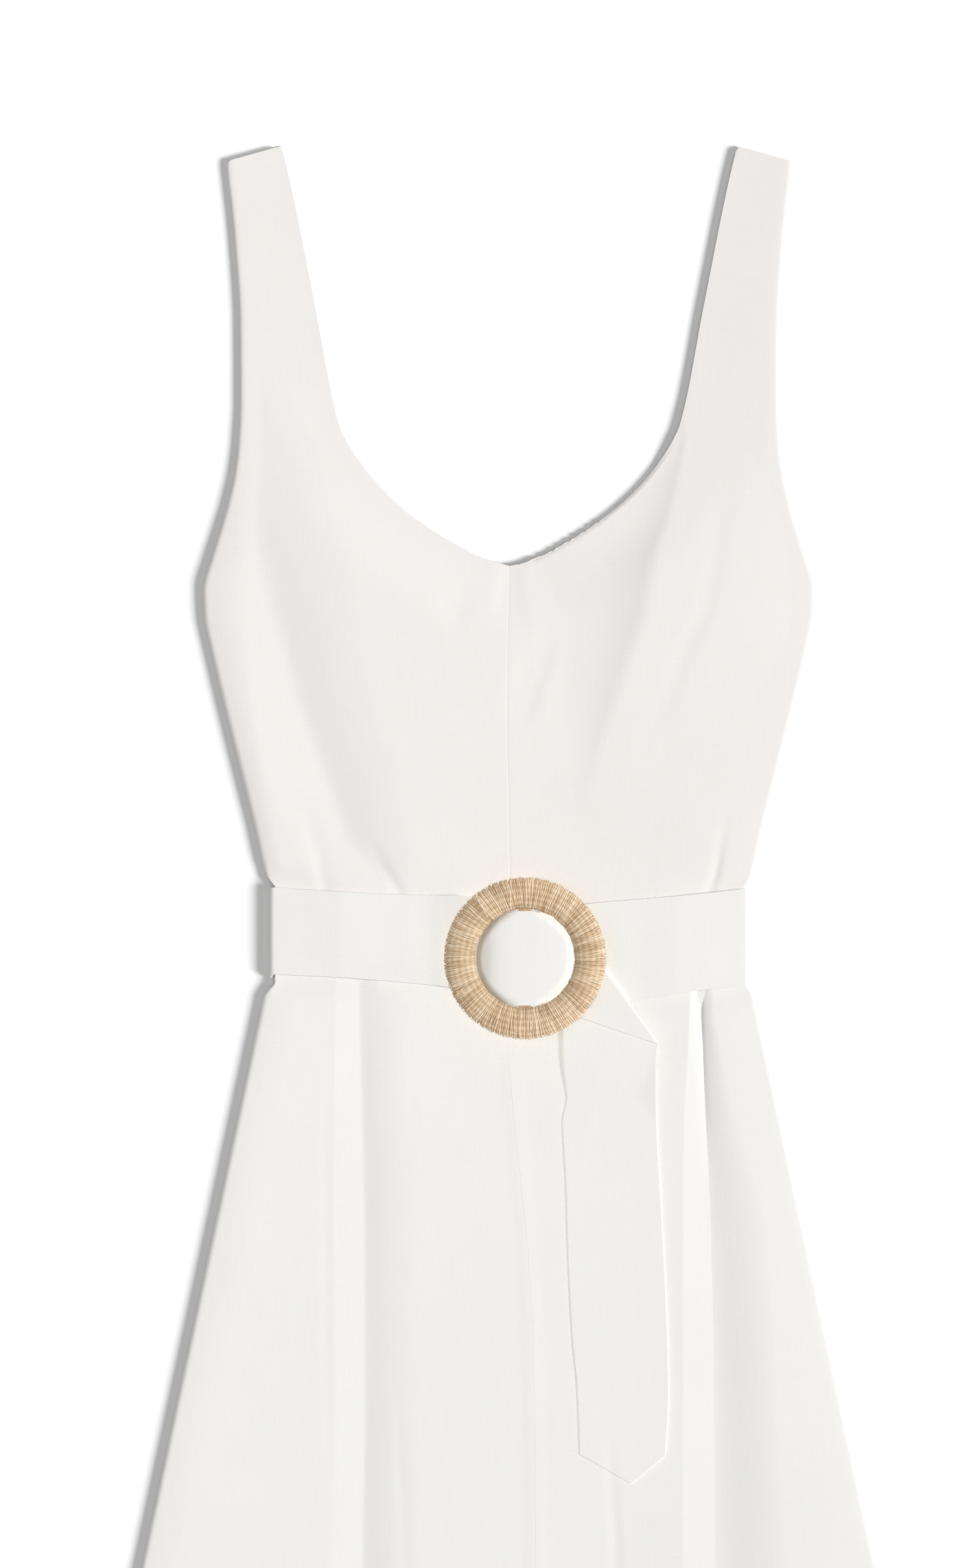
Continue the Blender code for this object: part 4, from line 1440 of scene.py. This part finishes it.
    def build(self, linen: bpy.types.Material) -> list[bpy.types.Object]:
        """Makes and dresses both pieces.

        Args:
            linen: Their cloth.

        Returns:
            The stretch and the free end.
        """
        wall = Wall(FORM.belt_cloth, 0, rim=self.rim)
        points = self.band_points()
        band = settle(wall.build("linen_belt_band", points, linen), Slot.BELT, "belt_band")
        points = self.end_points()
        end = settle(wall.build("linen_belt_end", points, linen), Slot.BELT, "belt_end")
        return [band, end]


class Tube(NamedTuple):
    """One yarn or fibre: its line, the way out at each point, and its thickness."""

    line: Array
    out: Array
    radius: Array
    closed: bool
    shade: float


def tubes(
    name: str, parts: Sequence[Tube], sides: int, material: bpy.types.Material
) -> bpy.types.Object:
    """Makes many tubes as one mesh.

    Args:
        name: The piece's name.
        parts: The tubes, in millimetres.
        sides: How many sides each has.
        material: Their finish.

    Returns:
        The piece, with its shade in the attribute strand and its map lay.
    """
    verts, faces, maps, shades = [], [], [], []
    angle = np.linspace(0, 2 * math.pi, sides, endpoint=False)
    for part in parts:
        line, count, base = part.line, len(part.line), len(shades)
        if part.closed:
            tangent = np.roll(line, -1, axis=0) - np.roll(line, 1, axis=0)
        else:
            tangent = np.gradient(line, axis=0)
        tangent /= np.linalg.norm(tangent, axis=1, keepdims=True)
        side = np.cross(tangent, part.out)
        side /= np.linalg.norm(side, axis=1, keepdims=True)
        up = np.cross(side, tangent)
        upward = np.cos(angle)[None, :, None] * up[:, None, :]
        sideways = np.sin(angle)[None, :, None] * side[:, None, :]
        ring = line[:, None, :] + part.radius[:, None, None] * (upward + sideways)
        verts.append(ring.reshape(-1, 3) * MM)
        shades += [part.shade] * (count * sides)
        for i in range(count if part.closed else count - 1):
            here, there = base + i * sides, base + (i + 1) % count * sides
            for j in range(sides):
                k = (j + 1) % sides
                faces.append((here + j, there + j, there + k, here + k))
                low, high = j / sides, (j + 1) / sides
                maps += [(low, i), (low, i + 1), (high, i + 1), (high, i)]
        if not part.closed:
            last = base + (count - 1) * sides
            faces.append(tuple(range(base, base + sides)))
            faces.append(tuple(reversed(range(last, last + sides))))
            maps += [(0.0, 0.0)] * (2 * sides)
    mesh = bpy.data.meshes.new(name)
    mesh.from_pydata(np.concatenate(verts).tolist(), [], faces)
    mesh.attributes.new("strand", "FLOAT", "POINT").data.foreach_set("value", shades)
    layer = mesh.uv_layers.new(name="lay")
    layer.uv.foreach_set("vector", np.array(maps, dtype=float).ravel())
    mesh.shade_smooth()
    mesh.materials.append(material)
    piece = bpy.data.objects.new(name, mesh)
    bpy.context.scene.collection.objects.link(piece)
    return piece


@dataclass
class RingBuckle:
    """The round buckle: a core with its bar, wound with jute yarn, and stray fibres."""

    x: float = FORM.ring_x
    y: float = FORM.ring_y
    outer: float = 51.8
    hole: float = 31.2
    high: float = 10.0
    bar_wide: float = 8.0
    bar_thick: float = 2.2
    bar_over_belt: float = 5.6
    bar_bed: float = 5.0
    yarn: float = 0.64
    wraps: int = 214
    under_wraps: int = 130
    crossings: int = 9
    fibres: int = 170
    points_round: int = 28
    seed: int = 41

    def __post_init__(self) -> None:
        """Works out the section's middle and the ring's height."""
        self.wide = (self.outer - self.hole) / 2
        self.radius = self.outer - self.wide
        self.z = FORM.ply_height + FORM.belt_cloth / 2 + FORM.seam + self.high / 2
        self.dice = random.Random(self.seed)

    def core(self, jute: bpy.types.Material) -> bpy.types.Object:
        """The core under the yarn, with its bar across the hole.

        Args:
            jute: Its finish.

        Returns:
            The piece.
        """
        under = 2.2 * self.yarn
        bpy.ops.mesh.primitive_torus_add(
            major_radius=self.radius * MM, minor_radius=(self.wide - under) * MM,
            major_segments=96, minor_segments=20,
        )
        core = bpy.context.object
        core.name = core.data.name = "ring_core"
        flat = (self.high / 2 - under) / (self.wide - under)
        for vert in core.data.vertices:
            vert.co.z *= flat
            vert.co += Vector((self.x, self.y, self.z)) * MM
        core.data.materials.append(jute)
        core.data.shade_smooth()
        bar_z = FORM.belt_rest + self.bar_over_belt + self.bar_thick / 2
        bar = bmesh.new()
        bar.from_mesh(core.data)
        made = bmesh.ops.create_cube(bar, size=1.0)["verts"]
        size = Vector((self.bar_wide, 2 * (self.hole + self.bar_bed), self.bar_thick))
        for vert in made:
            vert.co = Vector(a * b for a, b in zip(vert.co, size)) * MM
            vert.co += Vector((self.x, self.y, bar_z)) * MM
        edges = list({edge for vert in made for edge in vert.link_edges})
        bmesh.ops.bevel(bar, geom=edges, offset=0.5 * MM, segments=3, affect="EDGES")
        bar.to_mesh(core.data)
        bar.free()
        core.location = (0, 0, 0)
        return core

    def wrap(
        self, angle: float, lean: float, lift: float, start: float, end: float, shade: float
    ) -> Tube:
        """One turn of yarn round the ring's section.

        Args:
            angle: Where it stands round the ring.
            lean: How far round it drifts from the hole to the outside.
            lift: How far it lies over the yarn's own layer.
            start: Where on the section it starts, a full turn being closed.
            end: Where it ends.
            shade: Its tone, from 0 to 1.

        Returns:
            The yarn.
        """
        closed = end - start > 2 * math.pi - 0.01
        turn = np.linspace(start, end, self.points_round, endpoint=not closed)
        wobble = self.dice.uniform(0, 2 * math.pi)
        away = lift + 0.1 * np.sin(2 * turn + wobble)
        radial = (self.wide - self.yarn + away) * np.cos(turn)
        height = (self.high / 2 - self.yarn + away) * np.sin(turn)
        round_ring = angle + lean * np.cos(turn) / 2 + 0.004 * np.sin(3 * turn + wobble)
        line = np.stack((
            self.x + (self.radius + radial) * np.cos(round_ring),
            self.y + (self.radius + radial) * np.sin(round_ring),
            self.z + height,
        ), axis=1)
        out_radial = np.cos(turn) / self.wide
        out_height = np.sin(turn) / (self.high / 2)
        out = np.stack((
            out_radial * np.cos(round_ring), out_radial * np.sin(round_ring), out_height,
        ), axis=1)
        uneven = 1 + 0.14 * np.sin(turn * 2.6 + 2 * wobble)
        thick = self.yarn * uneven * self.dice.uniform(0.85, 1.12)
        return Tube(line, out, thick, closed, shade)

    def yarns(self) -> list[Tube]:
        """Every turn of yarn: an under layer toned dark as painted shade, the outer one in bundles,
        and some across it.

        Returns:
            The yarns.
        """
        whole = 2 * math.pi
        made = []
        # The under layer's tone of 0.1 is painted shade, where it shows in the gaps between the
        # outer turns
        for n in range(self.under_wraps):
            angle = whole * (n + self.dice.uniform(-0.3, 0.3)) / self.under_wraps
            made.append(self.wrap(angle, self.dice.uniform(-0.04, 0.04), -0.55, 0, whole, 0.1))
        left, lean, target = 0, 0.03, 0.03
        for n in range(self.wraps):
            if left == 0:
                left = self.dice.randint(5, 13)
                target = 0.02 + self.dice.uniform(-0.035, 0.035)
            left -= 1
            lean += (target - lean) * 0.5
            angle = whole * (n + self.dice.uniform(-0.22, 0.22)) / self.wraps
            lift = self.dice.uniform(-0.22, 0.06)
            made.append(self.wrap(angle, lean, lift, 0, whole, self.dice.uniform(0.15, 1.0)))
        for n in range(self.crossings):
            angle = whole * (n + self.dice.uniform(0.1, 0.9)) / self.crossings
            lean = self.dice.choice((-1, 1)) * self.dice.uniform(0.06, 0.13)
            made.append(self.wrap(angle, lean, 0.02, 0, whole, self.dice.uniform(0.5, 1.0)))
        return made

    def stray_fibres(self) -> list[Tube]:
        """Thin fibres that stand off the yarn round both edges.

        Returns:
            The fibres.
        """
        made = []
        for _ in range(self.fibres):
            angle = self.dice.uniform(0, 2 * math.pi)
            outside = self.dice.random() < 0.75
            if outside:
                start = self.dice.uniform(-0.5, 0.7)
            else:
                start = math.pi - self.dice.uniform(-0.3, 0.7)
            length = self.dice.uniform(2.0, 5.5)
            drift = self.dice.uniform(-1, 1) * length / self.radius
            share = np.linspace(0, 1, 6)
            turn = start + (0.5 if outside else -0.5) * share * length / self.wide * 1.6
            off = self.dice.uniform(0.15, 0.8) * np.sin(math.pi * share * 0.8)
            round_ring = angle + drift * share
            radial = (self.wide + off) * np.cos(turn)
            line = np.stack((
                self.x + (self.radius + radial) * np.cos(round_ring),
                self.y + (self.radius + radial) * np.sin(round_ring),
                self.z + (self.high / 2 + off) * np.sin(turn),
            ), axis=1)
            out = np.tile((0.3, 0.2, 1.0), (len(line), 1))
            made.append(Tube(line, out, 0.055 * (1.15 - share), False, self.dice.uniform(0.6, 1.0)))
        return made

    def build(self, jute: bpy.types.Material) -> list[bpy.types.Object]:
        """Makes and dresses the buckle.

        Args:
            jute: The yarn.

        Returns:
            The core, the yarn and the fibres.
        """
        core = settle(self.core(jute), Slot.JUTE, "ring_buckle")
        yarn = settle(tubes("ring_yarn", self.yarns(), 6, jute), Slot.JUTE, "ring_buckle")
        fibres = settle(tubes("ring_fibres", self.stray_fibres(), 3, jute), Slot.JUTE)
        return [core, yarn, fibres]


@dataclass(frozen=True)
class Studio:
    """The pale floor, the soft lights and the camera straight above."""

    centre_x: float = -0.01245
    centre_y: float = 0.2266
    seen: float = 1.0043
    lens: float = 100.0
    sensor: float = 36.0
    sky: float = 0.30
    key: float = 1.86
    key_angle: float = 22.0
    key_high: float = 38.0
    key_round: float = -4.0
    high_sun: float = 1.05
    high_sun_angle: float = 16.0
    high_sun_high: float = 50.0
    high_sun_round: float = 10.0
    fill: float = 3.0
    fill_x: float = -0.9
    fill_high: float = 0.9
    fill_wide: float = 0.4
    fill_long: float = 2.6
    floor_sun: float = 7.6
    floor_sun_angle: float = 22.0
    floor_sun_high: float = 21.0
    floor_sun_round: float = -14.0
    floor_top: float = 0.5
    floor_top_angle: float = 60.0
    floor_size: float = 12.0
    away: float = 3.0

    def way(self, high: float, around: float) -> Vector:
        """The way to a light from its height and its turn from +X, in degrees."""
        high, around = math.radians(high), math.radians(around)
        flat = math.cos(high)
        return Vector((flat * math.cos(around), flat * math.sin(around), math.sin(high)))

    def sun(self, name: str, way: Vector, energy: float, angle: float) -> bpy.types.Object:
        """Hangs a soft sun.

        Args:
            name: Its name.
            way: The way to it.
            energy: Its power.
            angle: How wide it is, in degrees.

        Returns:
            The light.
        """
        data = bpy.data.lights.new(name, "SUN")
        data.energy = energy
        data.angle = math.radians(angle)
        made = bpy.data.objects.new(name, data)
        made.location = way * self.away + Vector((self.centre_x, self.centre_y, 0))
        made.rotation_euler = way.to_track_quat("Z", "Y").to_euler()
        bpy.context.scene.collection.objects.link(made)
        return made

    def fill_light(self) -> bpy.types.Object:
        """Hangs a long soft light beside the dress, on the left of the picture.

        Returns:
            The light, which the camera doesn't see.
        """
        data = bpy.data.lights.new("fill", "AREA")
        data.shape = "RECTANGLE"
        data.size, data.size_y = self.fill_wide, self.fill_long
        data.energy = self.fill
        made = bpy.data.objects.new("fill", data)
        made.location = (self.fill_x, self.centre_y, self.fill_high)
        way = Vector((self.fill_x, 0.0, self.fill_high))
        made.rotation_euler = way.to_track_quat("Z", "Y").to_euler()
        made.visible_camera = False
        bpy.context.scene.collection.objects.link(made)
        return made

    def group(self, name: str, pieces: Sequence[bpy.types.Object]) -> bpy.types.Collection:
        """A collection of pieces that a light is linked to."""
        made = bpy.data.collections.new(name)
        for piece in pieces:
            made.objects.link(piece)
        return made

    def build(self, dress: Sequence[bpy.types.Object]) -> None:
        """Makes the floor, the lights and the camera.

        Args:
            dress: Every piece of the dress.
        """
        bpy.ops.mesh.primitive_plane_add(size=self.floor_size)
        floor = bpy.context.object
        floor.name = "floor"
        floor.data.materials.append(FloorFinish().build())

        world = bpy.data.worlds.new("studio")
        bpy.context.scene.world = world
        world.use_nodes = True
        sky = world.node_tree.nodes["Background"]
        sky.inputs["Color"].default_value = (1.0, 1.0, 1.0, 1.0)
        sky.inputs["Strength"].default_value = self.sky

        lit = self.group("lit_dress", dress)
        key = self.sun("key", self.way(self.key_high, self.key_round), self.key, self.key_angle)
        key.light_linking.receiver_collection = lit
        cloth = [piece for piece in dress if not piece.name.startswith("ring")]
        panels = [piece for piece in cloth if piece.name != "linen_belt_end"]
        key.light_linking.blocker_collection = self.group("shades_key", panels)
        way = self.way(self.high_sun_high, self.high_sun_round)
        high = self.sun("high_sun", way, self.high_sun, self.high_sun_angle)
        high.light_linking.receiver_collection = lit
        high.light_linking.blocker_collection = self.group("shades_high_sun", cloth)
        fill = self.fill_light()
        fill.light_linking.receiver_collection = lit
        under = self.group("lit_floor", [floor])
        way = self.way(self.floor_sun_high, self.floor_sun_round)
        low = self.sun("floor_sun", way, self.floor_sun, self.floor_sun_angle)
        low.light_linking.receiver_collection = under
        top = self.sun("floor_top", Vector((0, 0, 1)), self.floor_top, self.floor_top_angle)
        top.light_linking.receiver_collection = under

        data = bpy.data.cameras.new("camera")
        data.lens = self.lens
        data.sensor_width = self.sensor
        camera = bpy.data.objects.new("camera", data)
        camera.location = (self.centre_x, self.centre_y, self.seen * self.lens / self.sensor)
        bpy.context.scene.collection.objects.link(camera)
        bpy.context.scene.camera = camera
        bpy.context.scene.view_settings.view_transform = "Standard"


def report(pieces: Sequence[bpy.types.Object]) -> None:
    """Logs each piece and its faces."""
    for piece in pieces:
        LOG.info("%s: %d faces", piece.name, len(piece.data.polygons))


def main() -> None:
    """Builds the dress, the belt, the buckle and the studio."""
    logging.basicConfig(level=logging.INFO, format="%(message)s")
    linen = LinenFinish("linen", (0.838, 0.810, 0.782), (0.902, 0.874, 0.846)).build()
    skirt_linen = LinenFinish("skirt_linen", (0.842, 0.834, 0.800), (0.906, 0.898, 0.864)).build()
    belt_linen = LinenFinish("belt_linen", (0.842, 0.834, 0.802), (0.906, 0.898, 0.866)).build()
    jute = JuteFinish("jute_yarn").build()

    dress = Back().build(linen)
    for hand in Hand:
        dress += [FrontBodice(hand).build(linen), FrontSkirt(hand).build(skirt_linen)]
    dress += Belt().build(belt_linen)
    dress += RingBuckle().build(jute)
    report(dress)
    Studio().build(dress)


if __name__ == "__main__":
    main()
